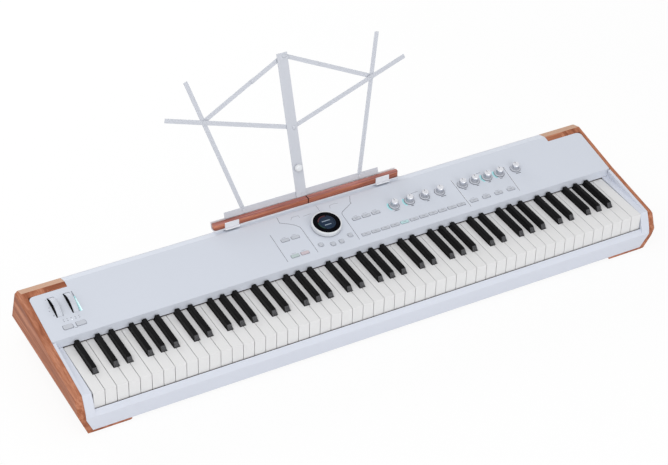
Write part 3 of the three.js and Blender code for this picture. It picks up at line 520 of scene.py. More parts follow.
def rounded_rectangle(x, y, width, height, radius, steps=4):
    points = []
    for cx, cy, start in ((1, 1, 0), (-1, 1, 90), (-1, -1, 180), (1, -1, 270)):
        for k in range(steps + 1):
            angle = math.radians(start + 90 * k / steps)
            points.append((x + cx * (width / 2 - radius) + radius * math.cos(angle),
                           y + cy * (height / 2 - radius) + radius * math.sin(angle)))
    return points


def finish_node(name, material, edge, segments=EDGE_SEGMENTS, angle=EDGE_ANGLE):
    """Keeps a CAD node's own mesh, with a better material and rounded edges."""
    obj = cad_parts[name]
    obj.data.materials.clear()
    obj.data.materials.append(materials[material])
    for face in obj.data.polygons:
        face.use_smooth = True
    round_edges(obj, edge, segments, angle)


def keyboard_layout():
    """Each key's note, whether it is black, and its left edge or, for a black key, its middle."""
    keys = []
    whites = 0
    for note in range(LOWEST_NOTE, LOWEST_NOTE + KEY_COUNT):
        boundary = FIRST_KEY_X + whites * KEY_PITCH
        if note % OCTAVE in BLACK_SHIFT_SHARES:
            keys.append((note, True, boundary + BLACK_SHIFT_SHARES[note % OCTAVE] * KEY_PITCH))
        else:
            keys.append((note, False, boundary))
            whites += 1
    return keys


def add_white_key(bm, x, black_before, black_after):
    """A white key: a top plate cut out beside black keys, an apron in front, and a tail."""
    left, right = x + KEY_GAP / 2, x + KEY_PITCH - KEY_GAP / 2
    clear = BLACK_BASE_WIDTH / 2 + KEY_GAP
    stem_left = black_before + clear if black_before is not None else left
    stem_right = black_after - clear if black_after is not None else right
    front, head, back = KEY_FRONT_Y, KEY_FRONT_Y + BLACK_FRONT - KEY_GAP, KEY_FRONT_Y + WHITE_END
    step = front + KEY_APRON
    plan = [(left, front), (right, front), (right, step)]
    if stem_right < right:
        plan += [(right, head), (stem_right, head)]
    plan += [(stem_right, back), (stem_left, back)]
    if stem_left > left:
        plan += [(stem_left, head), (left, head)]
    plan += [(left, step)]
    last = len(plan) - 1
    top = [bm.verts.new((*p, KEY_TOP)) for p in plan]
    under = [bm.verts.new((*p, KEY_TOP - KEY_PLATE)) if p[1] != front else None for p in plan]
    foot = {i: bm.verts.new((*plan[i], KEY_TOP - KEY_FRONT_HEIGHT)) for i in (0, 1, 2, last)}
    bm.faces.new(top)
    bm.faces.new([under[i] for i in range(last, 1, -1)])
    bm.faces.new([foot[last], foot[2], foot[1], foot[0]])
    bm.faces.new([foot[0], foot[1], top[1], top[0]])
    bm.faces.new([foot[1], foot[2], under[2], top[2], top[1]])
    bm.faces.new([foot[last], foot[0], top[0], top[last], under[last]])
    bm.faces.new([foot[2], foot[last], under[last], under[2]])
    for i in range(2, last):
        bm.faces.new([under[i], under[i + 1], top[i + 1], top[i]])
    add_tail(bm, (stem_left + stem_right) / 2, KEY_TOP - KEY_PLATE - KEY_GAP / 2)


def add_tail(bm, middle, top):
    """The narrow back of a key, which runs below the panel to the pivots."""
    add_block(bm, (middle - TAIL_WIDTH / 2, KEY_FRONT_Y + TAIL_START, TAIL_BOTTOM),
              (middle + TAIL_WIDTH / 2, KEY_FRONT_Y + TAIL_END, top))


def add_black_key(bm, x):
    """A black key: straight foot, tapering sides, a crowned top and a rounded sloping nose."""
    y0, y1 = KEY_FRONT_Y + BLACK_FRONT, KEY_FRONT_Y + BLACK_END
    foot, crown = BLACK_BASE_WIDTH / 2, BLACK_TOP_WIDTH / 2
    low, top = KEY_TOP - BLACK_DEPTH, KEY_TOP + BLACK_HEIGHT
    shoulder = crown + SHOULDER_TAPER_SHARE * (foot - crown)
    levels = (
        (foot, y0, y1, low),
        (foot, y0, y1, KEY_TOP),
        (shoulder, y0 + SHOULDER_NOSE_SHARE * BLACK_NOSE_SLOPE, y1, top - SHOULDER_DROP),
        (crown, y0 + BROW_NOSE_SHARE * BLACK_NOSE_SLOPE, y1, top - BROW_DROP),
        (crown - BLACK_RIM, y0 + BLACK_NOSE_SLOPE + BLACK_RIM, y1 - BLACK_RIM / 2, top),
    )
    rings = [[bm.verts.new(p) for p in ((x - h, a, z), (x + h, a, z), (x + h, b, z), (x - h, b, z))]
             for h, a, b, z in levels]
    bm.faces.new(rings[0][::-1])
    bm.faces.new(rings[-1])
    for level, (lower, upper) in enumerate(zip(rings, rings[1:])):
        for i in range(4):
            j = (i + 1) % 4
            face = bm.faces.new((lower[i], lower[j], upper[j], upper[i]))
            # The lower slope of the nose takes the paler plastic, a painted reflection
            face.material_index = 1 if i == 0 and level == 1 else 0
    add_tail(bm, x, low - KEY_GAP / 2)


def key_node(note, black):
    if note <= SINGLE_LAST:
        return "key_" + NOTE_NAMES[note % OCTAVE]
    return "black_keys" if black else "white_keys"


def build_keys():
    keys = keyboard_layout()
    for index, (note, black, x) in enumerate(keys):
        node = key_node(note, black)
        number = note - LOWEST_NOTE + 1
        bm = bmesh.new()
        if black:
            add_black_key(bm, x)
            piece(f"black_key_{number}", bm, ("ebony", "ebony_nose_reflection"), node, node,
                  BLACK_EDGE, FINE_SEGMENTS)
        else:
            before = keys[index - 1][2] if index and keys[index - 1][1] else None
            after = keys[index + 1][2] if index + 1 < len(keys) and keys[index + 1][1] else None
            add_white_key(bm, x, before, after)
            piece(f"white_key_{number}", bm, "ivory", node, node,
                  WHITE_EDGE, FINE_SEGMENTS)


LOW_ROW = 25 * MM
HIGH_ROW = 70 * MM
BUTTON_PROUD = 1.2 * MM
BUTTON_FOOT = -5.1 * MM
BUTTON_EDGE = 0.4 * MM
BUTTON_CORNER_SHARE = 0.24
SMALL_BUTTON = (17 * MM, 7 * MM)
ROW_BUTTON = (18 * MM, 6.5 * MM)
OCTAVE_BUTTON = (19 * MM, 10 * MM)
ROUND_BUTTON = 4.5 * MM
SLOT_START = 665 * MM
SLOT_PITCH = 22.4 * MM
SLOT_COUNT = 11
OCTAVE_PLACES = in_metres(((22.8, 24), (49.2, 24)))
TRANSPORT_PLACES = [(505 * MM, HIGH_ROW), (527.5 * MM, HIGH_ROW),
                    (504.5 * MM, LOW_ROW), (526.5 * MM, LOW_ROW)]
MODE_PLACES = [(x * MM, HIGH_ROW) for x in (667, 689.5, 712)]
SLOT_PLACES = [(SLOT_START + i * SLOT_PITCH, LOW_ROW) for i in range(SLOT_COUNT)]
EFFECT_PLACES = [(x * MM, LOW_ROW) for x in (920, 950, 980, 1010)]
DISPLAY_PLACES = in_metres(((566, 32.4), (590, 25.4), (609, 25.4), (633.5, 34)))
# Buttons that aren't of the plain plastic, by their strip and their place in it
TINTED_BUTTONS = {("slot_buttons", 4): "led_soft", ("transport_buttons", 2): "button_green",
                  ("transport_buttons", 3): "button_red"}


def button_outline(x, y, size):
    """A rounded rectangle, or a circle where no size is given."""
    if size:
        return rounded_rectangle(x, y, *size, min(size) * BUTTON_CORNER_SHARE)
    rim = [on_circle(ROUND_BUTTON, i, SMALL_SIDES) for i in range(SMALL_SIDES)]
    return [(x + aside, y + behind) for aside, behind in rim]


def build_buttons():
    strips = (
        ("octave_down_button", OCTAVE_PLACES[:1], OCTAVE_BUTTON),
        ("octave_up_button", OCTAVE_PLACES[1:], OCTAVE_BUTTON),
        ("transport_buttons", TRANSPORT_PLACES, SMALL_BUTTON),
        ("mode_buttons", MODE_PLACES, SMALL_BUTTON),
        ("slot_buttons", SLOT_PLACES, ROW_BUTTON),
        ("effect_buttons", EFFECT_PLACES, SMALL_BUTTON),
        ("display_buttons", DISPLAY_PLACES, None),
    )
    for node, places, size in strips:
        for i, (x, y) in enumerate(places):
            bm = bmesh.new()
            add_sheet(bm, button_outline(x, y, size), BUTTON_FOOT, BUTTON_PROUD)
            piece(f"{node}_cap_{i + 1}", bm, TINTED_BUTTONS.get((node, i), "button"), node, node,
                  BUTTON_EDGE, FINE_SEGMENTS, DECK)


KNOB_ROW = 73.5 * MM
KNOB_PLACES = tuple(x * MM for x in (757, 793, 829, 865, 920, 949.5, 980, 1010.5, 1050))
KNOB_SIDES = 40
KNOB_EDGE = 0.12 * MM
# Radius of a knob's skirt, side and top, and its height, in millimetres
KNOB_SKIRT = 10.5
KNOB_BODY = 8.2
KNOB_TOP = 7.2
KNOB_HEIGHT = 14
# Skirt, side and dished top, as radius and height, and the material of each band between
KNOB_PROFILE = in_metres((
    (0, 0.3), (KNOB_SKIRT - 0.6, 0.3), (KNOB_SKIRT, 0.9), (KNOB_SKIRT, 1.6), (KNOB_SKIRT - 0.8, 2.2),
    (KNOB_BODY + 0.4, 2.5), (KNOB_BODY, 3.4), (KNOB_TOP + 0.2, 9), (KNOB_TOP + 0.1, KNOB_HEIGHT - 1),
    (KNOB_TOP - 0.7, KNOB_HEIGHT), (KNOB_TOP - 2, KNOB_HEIGHT - 0.25), (0, KNOB_HEIGHT - 0.5)))
KNOB_MATERIALS = ("knob", "knob_side", "print", "knob_flute")
KNOB_BANDS = (2, 2, 2, 1, 1, 3, 3, 0, 0, 0, 0)
RIB_COUNT = 24
# Opposite corners of one rib and of the pointer
RIB_BLOCK = in_metres(((KNOB_TOP - 0.2, -0.28, 4.4), (KNOB_TOP + 0.75, 0.28, 11.6)))
POINTER_BLOCK = in_metres((
    (-0.4, KNOB_TOP * 0.3, KNOB_HEIGHT - 0.6), (0.4, KNOB_TOP - 0.5, KNOB_HEIGHT + 0.08)))
RIM_INNER = (KNOB_SKIRT + 0.2) * MM
RIM_OUTER = (KNOB_SKIRT + 0.9) * MM
RIM_STEPS = 48
# Painted glow: a glowing sheet on the panel beside some knobs stands for the cyan light round them
HAZE_OUTER = (KNOB_SKIRT + 5) * MM
HAZE_ARC = (135, 225)
HAZE_STEPS = 24
# The dark ring round each knob and the haze, a painted glow, lie on the panel at these heights
FLAT_LOW = 0.02 * MM
RIM_HIGH = 0.06 * MM
HAZE_HIGH = 0.12 * MM
LIT_KNOBS = (0, 1, 6, 7)


def add_knob(bm):
    """A knob with a skirt, a fluted side and a printed pointer on its dished top."""
    add_turned(bm, KNOB_PROFILE, KNOB_SIDES, KNOB_BANDS)
    for k in range(RIB_COUNT):
        corners = add_block(bm, *RIB_BLOCK)
        turn = Matrix.Rotation(2 * math.pi * k / RIB_COUNT, 4, "Z")
        bmesh.ops.transform(bm, matrix=turn, verts=corners)
    add_block(bm, *POINTER_BLOCK, KNOB_MATERIALS.index("print"))


def build_knobs():
    for i, x in enumerate(KNOB_PLACES):
        name = f"knob_{i + 1}"
        place = DECK @ Matrix.Translation((x, KNOB_ROW, 0))
        bm = bmesh.new()
        add_knob(bm)
        piece(name + "_turned", bm, KNOB_MATERIALS, name, name, KNOB_EDGE, 1, place)
        bm = bmesh.new()
        add_arc(bm, RIM_INNER, RIM_OUTER, 0, 360, FLAT_LOW, RIM_HIGH, RIM_STEPS)
        piece(name + "_dark_rim", bm, "print", "case", matrix=place)
        # Painted glow of cyan light on the panel beside this knob
        if i in LIT_KNOBS:
            bm = bmesh.new()
            add_arc(bm, RIM_OUTER, HAZE_OUTER, *HAZE_ARC, FLAT_LOW, HAZE_HIGH, HAZE_STEPS)
            piece(name + "_light", bm, "led_haze", "case", matrix=place)


DIAL_X = 599.5 * MM
DIAL_Y = 74 * MM
DIAL_SIDES = 72
# Closed outline of the display's ring, as radius and height in millimetres, and the material of each band
DIAL_PROFILE = in_metres((
    (28.5, 5.5), (28.5, 11.8), (28.85, 12), (29.7, 12), (30.65, 11.5), (31, 10.5), (31, 2.2), (30.5, 1.6),
    (30.5, 0.5), (29.8, 0.3), (28.5, 0.3), (28.5, 5.5)))
DIAL_BANDS = (0, 0, 0, 0, 0, 0, 1, 1, 1, 0, 0)
# The glass and the picture just above it, as radius and height in millimetres
GLASS_TOP = 11.5
GLASS_PROFILE = in_metres((
    (0, -14), (8, -14), (8, 9.5), (28.1, 9.5), (28.1, 11.2), (27.5, GLASS_TOP), (0, GLASS_TOP)))
PICTURE_PROFILE = in_metres((
    (0, GLASS_TOP + 0.02), (15.5, GLASS_TOP + 0.02), (15.5, GLASS_TOP + 0.05), (0, GLASS_TOP + 0.06)))
PICTURE_BASE = PICTURE_PROFILE[0][1]
PICTURE_SIDES = 48
PICTURE_ARCS = (("red", 75, 160), ("green", 165, 235), ("blue", 240, 430))
ARC_INNER = 15.8 * MM
ARC_OUTER = 18.4 * MM
ARC_RAISE = 0.05 * MM
ARC_STEPS = 32
# Middle and half length of the two bars on the display
PICTURE_BARS = in_metres(((4.2, 9.2), (-6.2, 7.4)))
BAR_WIDTH = 2.0 * MM
BAR_ROUND = 0.9 * MM
BAR_RAISE = 0.08 * MM


def build_display():
    place = DECK @ Matrix.Translation((DIAL_X, DIAL_Y, 0))
    bm = bmesh.new()
    add_ring(bm, DIAL_PROFILE, DIAL_SIDES, DIAL_BANDS)
    ring = "display_ring"
    piece("display_ring_turned", bm, ("ring", "ring_foot"), ring, ring, matrix=place)
    glass = "display_glass"
    turned_piece("display_glass_disc", GLASS_PROFILE, DIAL_SIDES, place, "glass", "case", glass)
    turned_piece("display_picture", PICTURE_PROFILE, PICTURE_SIDES, place, "screen_blue", "case")
    for color, start, stop in PICTURE_ARCS:
        bm = bmesh.new()
        add_arc(bm, ARC_INNER, ARC_OUTER, start, stop, PICTURE_BASE, PICTURE_BASE + ARC_RAISE, ARC_STEPS)
        piece(f"display_arc_{color}", bm, f"screen_{color}", "case", matrix=place)
    for index, (y, half) in enumerate(PICTURE_BARS):
        bm = bmesh.new()
        outline = rounded_rectangle(0, y, 2 * half, BAR_WIDTH, BAR_ROUND)
        add_sheet(bm, outline, PICTURE_BASE + ARC_RAISE, PICTURE_BASE + BAR_RAISE)
        piece(f"display_bar_{index + 1}", bm, "screen_line", "case", matrix=place)


WHEEL_PLACES = {"pitch_wheel": 19 * MM, "modulation_wheel": 51.4 * MM}
WHEEL_Y = 78 * MM
WHEEL_DROP = 25.2 * MM
WHEEL_RADIUS = 35.6 * MM
WHEEL_WIDTH = 12.6 * MM
WHEEL_HALF_ANGLE = 68
WHEEL_STEPS = 48
WHEEL_INNER = 9 * MM
TREAD_INSET = 1.6 * MM
TREAD_LEFT_ROUND = 0.6 * MM
TREAD_RIGHT_ROUND = 0.9 * MM
TREAD_SHOULDER = 0.9 * MM
DIP_DEPTH = 2.2 * MM
DIP_MIDDLE = 4
DIP_SPREAD = 9.0
AXLE_HALF = 15.8 * MM
AXLE_RADIUS = 3 * MM
AXLE_SIDES = 20
HUB_RADIUS = 9.5 * MM
HUB_OVERHANG = 0.5 * MM
HUB_SIDES = 28
HUB_EDGE = 0.3 * MM


def add_wheel(bm):
    """A sector of a wheel with black sides and a shallow finger dip in its tread."""
    half = WHEEL_WIDTH / 2
    left = -half + TREAD_INSET
    shoulder = WHEEL_RADIUS - TREAD_SHOULDER
    rows = []
    for k in range(WHEEL_STEPS + 1):
        degrees = -WHEEL_HALF_ANGLE + 2 * WHEEL_HALF_ANGLE * k / WHEEL_STEPS
        angle = math.radians(degrees)
        tread = WHEEL_RADIUS - DIP_DEPTH * math.exp(-((degrees - DIP_MIDDLE) / DIP_SPREAD) ** 2)
        section = ((left, WHEEL_INNER), (left, shoulder), (left + TREAD_LEFT_ROUND, tread),
                   (half - TREAD_RIGHT_ROUND, tread), (half, shoulder), (half, WHEEL_INNER))
        rows.append([bm.verts.new((u, -r * math.sin(angle), r * math.cos(angle))) for u, r in section])
    last = len(rows[0]) - 1
    for a, b in zip(rows, rows[1:]):
        for j in range(last):
            bm.faces.new((a[j], a[j + 1], b[j + 1], b[j])).material_index = 1 if j in (0, last - 1) else 0
        bm.faces.new((a[-1], a[0], b[0], b[-1])).material_index = 1
    for row in (rows[0], rows[-1]):
        bm.faces.new(row).material_index = 1


def add_rod(bm, radius, half, sides):
    add_turned(bm, ((0, -half), (radius, -half), (radius, half), (0, half)), sides)


def build_wheels():
    for name, x in WHEEL_PLACES.items():
        place = DECK @ Matrix.Translation((x, WHEEL_Y, -WHEEL_DROP))
        bm = bmesh.new()
        add_wheel(bm)
        piece(name + "_rim", bm, ("wheel", "black"), name, name, matrix=place)
        bm = bmesh.new()
        add_rod(bm, AXLE_RADIUS, AXLE_HALF, AXLE_SIDES)
        add_rod(bm, HUB_RADIUS, WHEEL_WIDTH / 2 + HUB_OVERHANG, HUB_SIDES)
        along_x = Matrix.Rotation(math.pi / 2, 4, "Y")
        piece(name + "_hub", bm, "black", name, edge=HUB_EDGE, matrix=place @ along_x)


def draw_panel_line(name, points, width, material="print"):
    """A thin flat line that follows points on the panel, for printing and for painted shade and highlights.
    """
    bm = bmesh.new()
    half = width / 2
    for (x0, y0), (x1, y1) in zip(points, points[1:]):
        length = math.hypot(x1 - x0, y1 - y0)
        ux, uy = (x1 - x0) / length * half, (y1 - y0) / length * half
        add_sheet(bm, [(x0 - ux + uy, y0 - uy - ux), (x1 + ux + uy, y1 + uy - ux),
                       (x1 + ux - uy, y1 + uy + ux), (x0 - ux - uy, y0 - uy + ux)], MARK_LOW, MARK_HIGH)
    piece(name, bm, material, "case", matrix=DECK)


MARK_CORNER_SHARE = 0.3
MARK_CORNER_STEPS = 2


def print_marks(name, marks, material="print"):
    """Small printed bars, each given as its middle, width and height."""
    bm = bmesh.new()
    for x, y, width, height in marks:
        corner = min(width, height) * MARK_CORNER_SHARE
        outline = rounded_rectangle(x, y, width, height, corner, MARK_CORNER_STEPS)
        add_sheet(bm, outline, MARK_LOW, MARK_HIGH)
    piece(name, bm, material, "case", matrix=DECK)


def curve(p0, p1, p2, steps):
    """Points of a quadratic curve."""
    return [tuple((1 - t) ** 2 * a + 2 * t * (1 - t) * b + t * t * c for a, b, c in zip(p0, p1, p2))
            for t in (k / steps for k in range(steps + 1))]


# Painted shade round the buttons: width of the dark outline, and how much wider than a cap its inside is, for
# square and round caps
FRAME_LINE = 0.5 * MM
FRAME_GAP = 0.9 * MM
ROUND_FRAME_GAP = 1.6 * MM


def paint_gap_shade(name, x, y, width, height):
    """A thin dark outline round a button: painted shade in the gap round its cap."""
    bm = bmesh.new()
    corner = BUTTON_CORNER_SHARE * min(width, height)
    inner = rounded_rectangle(x, y, width, height, corner)
    outer = rounded_rectangle(x, y, width + 2 * FRAME_LINE, height + 2 * FRAME_LINE, corner + FRAME_LINE)
    loops = [[bm.verts.new((*point, z)) for point in points] for points, z in
             ((inner, MARK_LOW), (outer, MARK_LOW), (outer, MARK_HIGH), (inner, MARK_HIGH))]
    count = len(inner)
    for k in range(count):
        for a, b in zip(loops, loops[1:] + loops[:1]):
            bm.faces.new((a[k], a[(k + 1) % count], b[(k + 1) % count], b[k]))
    piece(name, bm, "print_soft", "case", matrix=DECK)


# Printed lines on the panel, and two engraved dividers drawn as flat lines of painted shade and painted
# highlight, in millimetres from its front left corner: name, width, material and points
PANEL_LINES = (
    ("line_left_field", 0.8, "print", ((483, 93.7), (483.8, 16))),
    ("line_display_left", 0.8, "print", (
        (517, 131), (515.6, 116.1), (530.5, 107.8), (542.2, 99.6), (549.1, 90.9), (550, 81.7),
        (551.6, 17.5))),
    ("line_display_right", 0.8, "print", (
        (684, 130.5), (677.3, 116.6), (677.2, 112.1), (648, 96.4), (645.3, 91.5), (645.7, 17.2))),
    ("bracket_left_inner", 0.6, "print_soft", (
        (541, 114.9), (545.1, 120.7), (559.9, 120.8), (560.2, 114.7))),
    ("bracket_under_rest", 0.6, "print_soft", ((569.6, 115.4), (586.1, 116.4))),
    ("bracket_top", 0.6, "print_soft", ((606.3, 131), (607.2, 126.1), (606.4, 115.9))),
    ("bracket_right_inner", 0.6, "print_soft", (
        (630.4, 115.4), (632.7, 122.1), (640.4, 123.6), (651.3, 122.3))),
    ("bracket_knob_two", 0.6, "print", ((801, 89.3), (806.5, 90.3), (822.4, 91.1))),
    ("bracket_knob_six", 0.6, "print", ((954, 88.4), (957.3, 89.7), (972.6, 90.7))),
    # Each divider: a dark line of painted shade, and beside it a pale line of painted highlight
    ("line_left_divider", 1.0, "print", ((903.9, 92.4), (905.6, 12.9))),
    ("edge_left_divider", 1.0, "print_light", ((905.0, 92.4), (906.7, 12.9))),
    ("line_right_divider", 1.0, "print", ((1028.2, 86.4), (1025.4, 15.2))),
    ("edge_right_divider", 1.0, "print_light", ((1029.3, 86.4), (1026.5, 15.2))),
)
# Other marks, in millimetres: knob labels by middle and length, the rest by middle, width and height
KNOB_LABELS = ((756, 12), (793, 6), (830, 6), (867, 12), (920, 6), (950, 6), (979, 6), (1008, 6), (1050, 12))
LABEL_ROW = 59.5
LABEL_WIDTH = 1.5
SCALE_TICKS = ((8.8, 101.3, 2.6, 1.0), (7.2, 80.6, 2.6, 1.0), (4.9, 72.1, 2.6, 1.0))
LOW_TICK = (8.9, 59.1, 3.0, 1.3)
DOT_COLUMNS = (21, 28.6, 36.7, 44.7, 52.5)
DOT_ROWS = (43, 38.5)
DOT_SIZE = 1.6
LIT_DOT_PLACE = (36.7, 38.5)
LIT_DOT = (36.9, 38.3, 1.9, 1.9)

OCTAVE_ARC = in_metres(((33.4, 20), (36, 14.6), (40, 18)))
OCTAVE_ARC_STEPS = 6
OCTAVE_ARC_WIDTH = 0.6 * MM
LEGEND_ABOVE = 7.2 * MM
LEGEND_SIZE = (9 * MM, 0.9 * MM)
CAP_MARK = (6 * MM, 0.9 * MM)
CAP_MARK_ROUND = 0.3 * MM
CAP_MARK_RAISE = 0.04 * MM


def build_panel_marks():
    for name, width, material, points in PANEL_LINES:
        draw_panel_line(name, in_metres(points), width * MM, material)
    labels = [(x, LABEL_ROW, length, LABEL_WIDTH) for x, length in KNOB_LABELS]
    dots = [(x, y, DOT_SIZE, DOT_SIZE) for x in DOT_COLUMNS for y in DOT_ROWS if (x, y) != LIT_DOT_PLACE]
    print_marks("labels_knobs", in_metres(labels))
    print_marks("scale_wheel", in_metres(SCALE_TICKS), "print_soft")
    print_marks("scale_wheel_low", in_metres([LOW_TICK]))
    print_marks("dots_octave", in_metres(dots))
    print_marks("light_octave", in_metres([LIT_DOT]), "led_white")
    draw_panel_line("arc_octave", curve(*OCTAVE_ARC, OCTAVE_ARC_STEPS), OCTAVE_ARC_WIDTH)
    places = TRANSPORT_PLACES + MODE_PLACES + EFFECT_PLACES
    legends = [(x, y + LEGEND_ABOVE, *LEGEND_SIZE) for x, y in places]
    print_marks("legends_buttons", legends, "print_pale")


def build_cap_marks():
    """A short bar on each cap of three button strips."""
    strips = {"slot_buttons": SLOT_PLACES, "effect_buttons": EFFECT_PLACES, "mode_buttons": MODE_PLACES}
    marked = [(body, place) for body, places in strips.items() for place in places]
    for index, (body, (x, y)) in enumerate(marked):
        bm = bmesh.new()
        outline = rounded_rectangle(x, y, *CAP_MARK, CAP_MARK_ROUND, MARK_CORNER_STEPS)
        add_sheet(bm, outline, BUTTON_PROUD, BUTTON_PROUD + CAP_MARK_RAISE)
        piece(f"button_mark_{index + 1}", bm, "print_soft", body, matrix=DECK)


def build_button_gap_shades():
    # Painted shade round each button, and round the display's round buttons
    framed = [(place, SMALL_BUTTON) for place in TRANSPORT_PLACES + MODE_PLACES + EFFECT_PLACES]
    framed += [(place, ROW_BUTTON) for place in SLOT_PLACES]
    framed += [(place, OCTAVE_BUTTON) for place in OCTAVE_PLACES]
    for index, ((x, y), (width, height)) in enumerate(framed):
        paint_gap_shade(f"button_outline_{index + 1}", x, y, width + FRAME_GAP, height + FRAME_GAP)
    size = 2 * ROUND_BUTTON + ROUND_FRAME_GAP
    for index, (x, y) in enumerate(DISPLAY_PLACES):
        paint_gap_shade(f"display_button_outline_{index + 1}", x, y, size, size)


# Strips of the light beside the modulation wheel, its top end unlit, the dim and end strips a painted glow
# spilling from the lit one: material, and edges in millimetres
WHEEL_LIGHT = (
    ("lit", "led", (61.6, 64.2), (52, 85)),
    ("dim", "led_haze", (58.8, 61.6), (52, 88)),
    ("end", "led_haze", (61.6, 64.0), (85, 91)),
    ("unlit", "print_soft", (61.6, 63.4), (91, 104)),
)
WHEEL_LIGHT_BOTTOM = -1 * MM
WHEEL_LIGHT_TOP = 0.12 * MM


def build_wheel_light():
    for name, material, (left, right), (front, back) in WHEEL_LIGHT:
        bm = bmesh.new()
        add_block(bm, (left * MM, front * MM, WHEEL_LIGHT_BOTTOM), (right * MM, back * MM, WHEEL_LIGHT_TOP))
        piece(f"modulation_light_{name}", bm, material, "case", matrix=DECK)


# Felt behind the keys, and in front of them a dark strip that is painted shadow in the gap between the
# moulding and the keys; each from the key fronts backwards and from the floor up, in millimetres
FELT_AND_SHADOW_STRIPS = (("rear", (142.8, 145.6), (92.5, 94.9)), ("front", (-1.9, -0.45), (52.6, 55.1)))


def build_felt_and_shadow_strips():
    half = KEY_PITCH * WHITE_COUNT / 2 - KEY_GAP
    for name, (y0, y1), (z0, z1) in FELT_AND_SHADOW_STRIPS:
        bm = bmesh.new()
        add_block(bm, (-half, KEY_FRONT_Y + y0 * MM, z0 * MM), (half, KEY_FRONT_Y + y1 * MM, z1 * MM))
        piece(f"felt_{name}", bm, "felt", "case")


TOP_JOINT = (0, 283 * MM)
CROSSING = (187 * MM, 193.5 * MM)
ELBOW_SHARE = 0.385
LAYER_GAP = 0.3 * MM
LAYER_PITCH = 1.8 * MM
POST_WALL = 2 * MM
POST_RIVETS = (134, 283)
RIVET_RADIUS = 4.6 * MM
RIVET_HEIGHT = 1.8 * MM
RIVET_FOOT = -0.4 * MM
# Domed head of a post rivet, in shares of its radius and height
RIVET_DOME = ((1, 0.25), (0.86, 0.62), (0.55, 0.9), (0, 1))
RIVET_PROFILE = [(0, RIVET_FOOT), (RIVET_RADIUS, RIVET_FOOT)]
RIVET_PROFILE += [(RIVET_RADIUS * across, RIVET_HEIGHT * up) for across, up in RIVET_DOME]
# Flat head at an elbow, as radius and height in millimetres
ELBOW_PROFILE = in_metres(((0, -0.3), (1.2, -0.3), (1.2, 0.03), (3.4, 0.03), (3.2, 0.1), (0, 0.12)))
THUMB_V = 50 * MM
THUMB_SIDES = 36
THUMB_PROFILE = in_metres((
    (0, 2.3), (6.4, 2.3), (7.6, 3.2), (8, 5), (7.8, 8), (6.6, 10.2), (4.0, 11), (0, 11)))
REST_EDGE = 0.3 * MM
BRACKET_EDGE = 0.4 * MM
SPLIT_SHIFT = 0.5 * MM
SPLIT_HALF = 1.1 * MM
SPLIT_PROUD = 0.06 * MM


def build_ledge_split():
    """The dark line where the two pieces of the ledge meet."""
    low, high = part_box("ledge_wood_left")
    middle = high.x + SPLIT_SHIFT
    bm = bmesh.new()
    add_block(bm, (middle - SPLIT_HALF, low.y - SPLIT_PROUD, low.z),
              (middle + SPLIT_HALF, high.y, high.z + SPLIT_PROUD))
    piece("ledge_split", bm, "felt", "case")


def build_rest():
    finish_node("rest_post", "rest", REST_EDGE)
    for part in ("plate", "leg", "lower_bar", "upper_inner", "upper_outer"):
        for hand in ("left", "right"):
            finish_node(f"rest_{part}_{hand}", "rest", REST_EDGE)
    finish_node("rest_bracket", "tab", BRACKET_EDGE)
    for v in POST_RIVETS:
        place = REST @ Matrix.Translation((0, v * MM, POST_WALL))
        turned_piece(f"post_rivet_{v}", RIVET_PROFILE, SMALL_SIDES, place, "rest", "case")
    for side, hand, layer in ((-1, "left", 1), (1, "right", 2)):
        u, v = (a + ELBOW_SHARE * (b - a) for a, b in zip(TOP_JOINT, (side * CROSSING[0], CROSSING[1])))
        place = REST @ Matrix.Translation((u, v, -LAYER_GAP - layer * LAYER_PITCH))
        bar = f"rest_upper_outer_{hand}"
        turned_piece(f"elbow_rivet_{hand}", ELBOW_PROFILE, SMALL_SIDES, place, "rest", bar)
    place = REST @ Matrix.Translation((POST_MIDDLE, THUMB_V, 0))
    node = "rest_thumb_knob"
    turned_piece("thumb_knob_turned", THUMB_PROFILE, THUMB_SIDES, place, "ring", node, node)


# CAD nodes kept with their own mesh: material and edge width, then segments and least angle if unusual
CASE_NODES = {
    "left_cheek": ("wood_y", 1.6 * MM, 3, 18),
    "right_cheek": ("wood_y", 1.6 * MM, 3, 18),
    "ledge_wood_left": ("rail", 2.4 * MM, 4),
    "ledge_wood_right": ("rail", 2.4 * MM, 4),
    "top_panel": ("panel", 0.45 * MM),
    "front_moulding": ("nose", 1.3 * MM, 4, 9),
    "rear_panel": ("back", 0.6 * MM),
    "base_pan": ("steel", 0.3 * MM),
    "key_chassis": ("steel", 0.4 * MM),
    "control_board": ("laminate", 0),
    "wheel_box": ("black", 0.2 * MM, 1),
    "left_feet": ("rubber", 1.2 * MM, 3),
    "right_feet": ("rubber", 1.2 * MM, 3),
}


def build_case():
    for name, settings in CASE_NODES.items():
        finish_node(name, *settings)


SCREW_ROWS = (95 * MM, 180 * MM, 270 * MM)
SCREW_COLUMNS = 7
SCREW_MARGIN_SHARE = 0.75
SCREW_PROFILE = in_metres(((0, 0.6), (4, 0.6), (3.8, -0.9), (2.6, -1.8), (0, -2.0)))


def build_screws():
    """Pan-head screws in rows under the case."""
    low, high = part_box("base_pan")
    for column in range(SCREW_COLUMNS):
        share = (column + SCREW_MARGIN_SHARE) / (SCREW_COLUMNS - 1 + 2 * SCREW_MARGIN_SHARE)
        x = low.x + (high.x - low.x) * share
        for row, depth in enumerate(SCREW_ROWS):
            name = f"pan_screw_{column + 1}_{row + 1}"
            place = Matrix.Translation((x, KEY_FRONT_Y + depth, low.z))
            turned_piece(name, SCREW_PROFILE, SMALL_SIDES, place, "screw", "case")


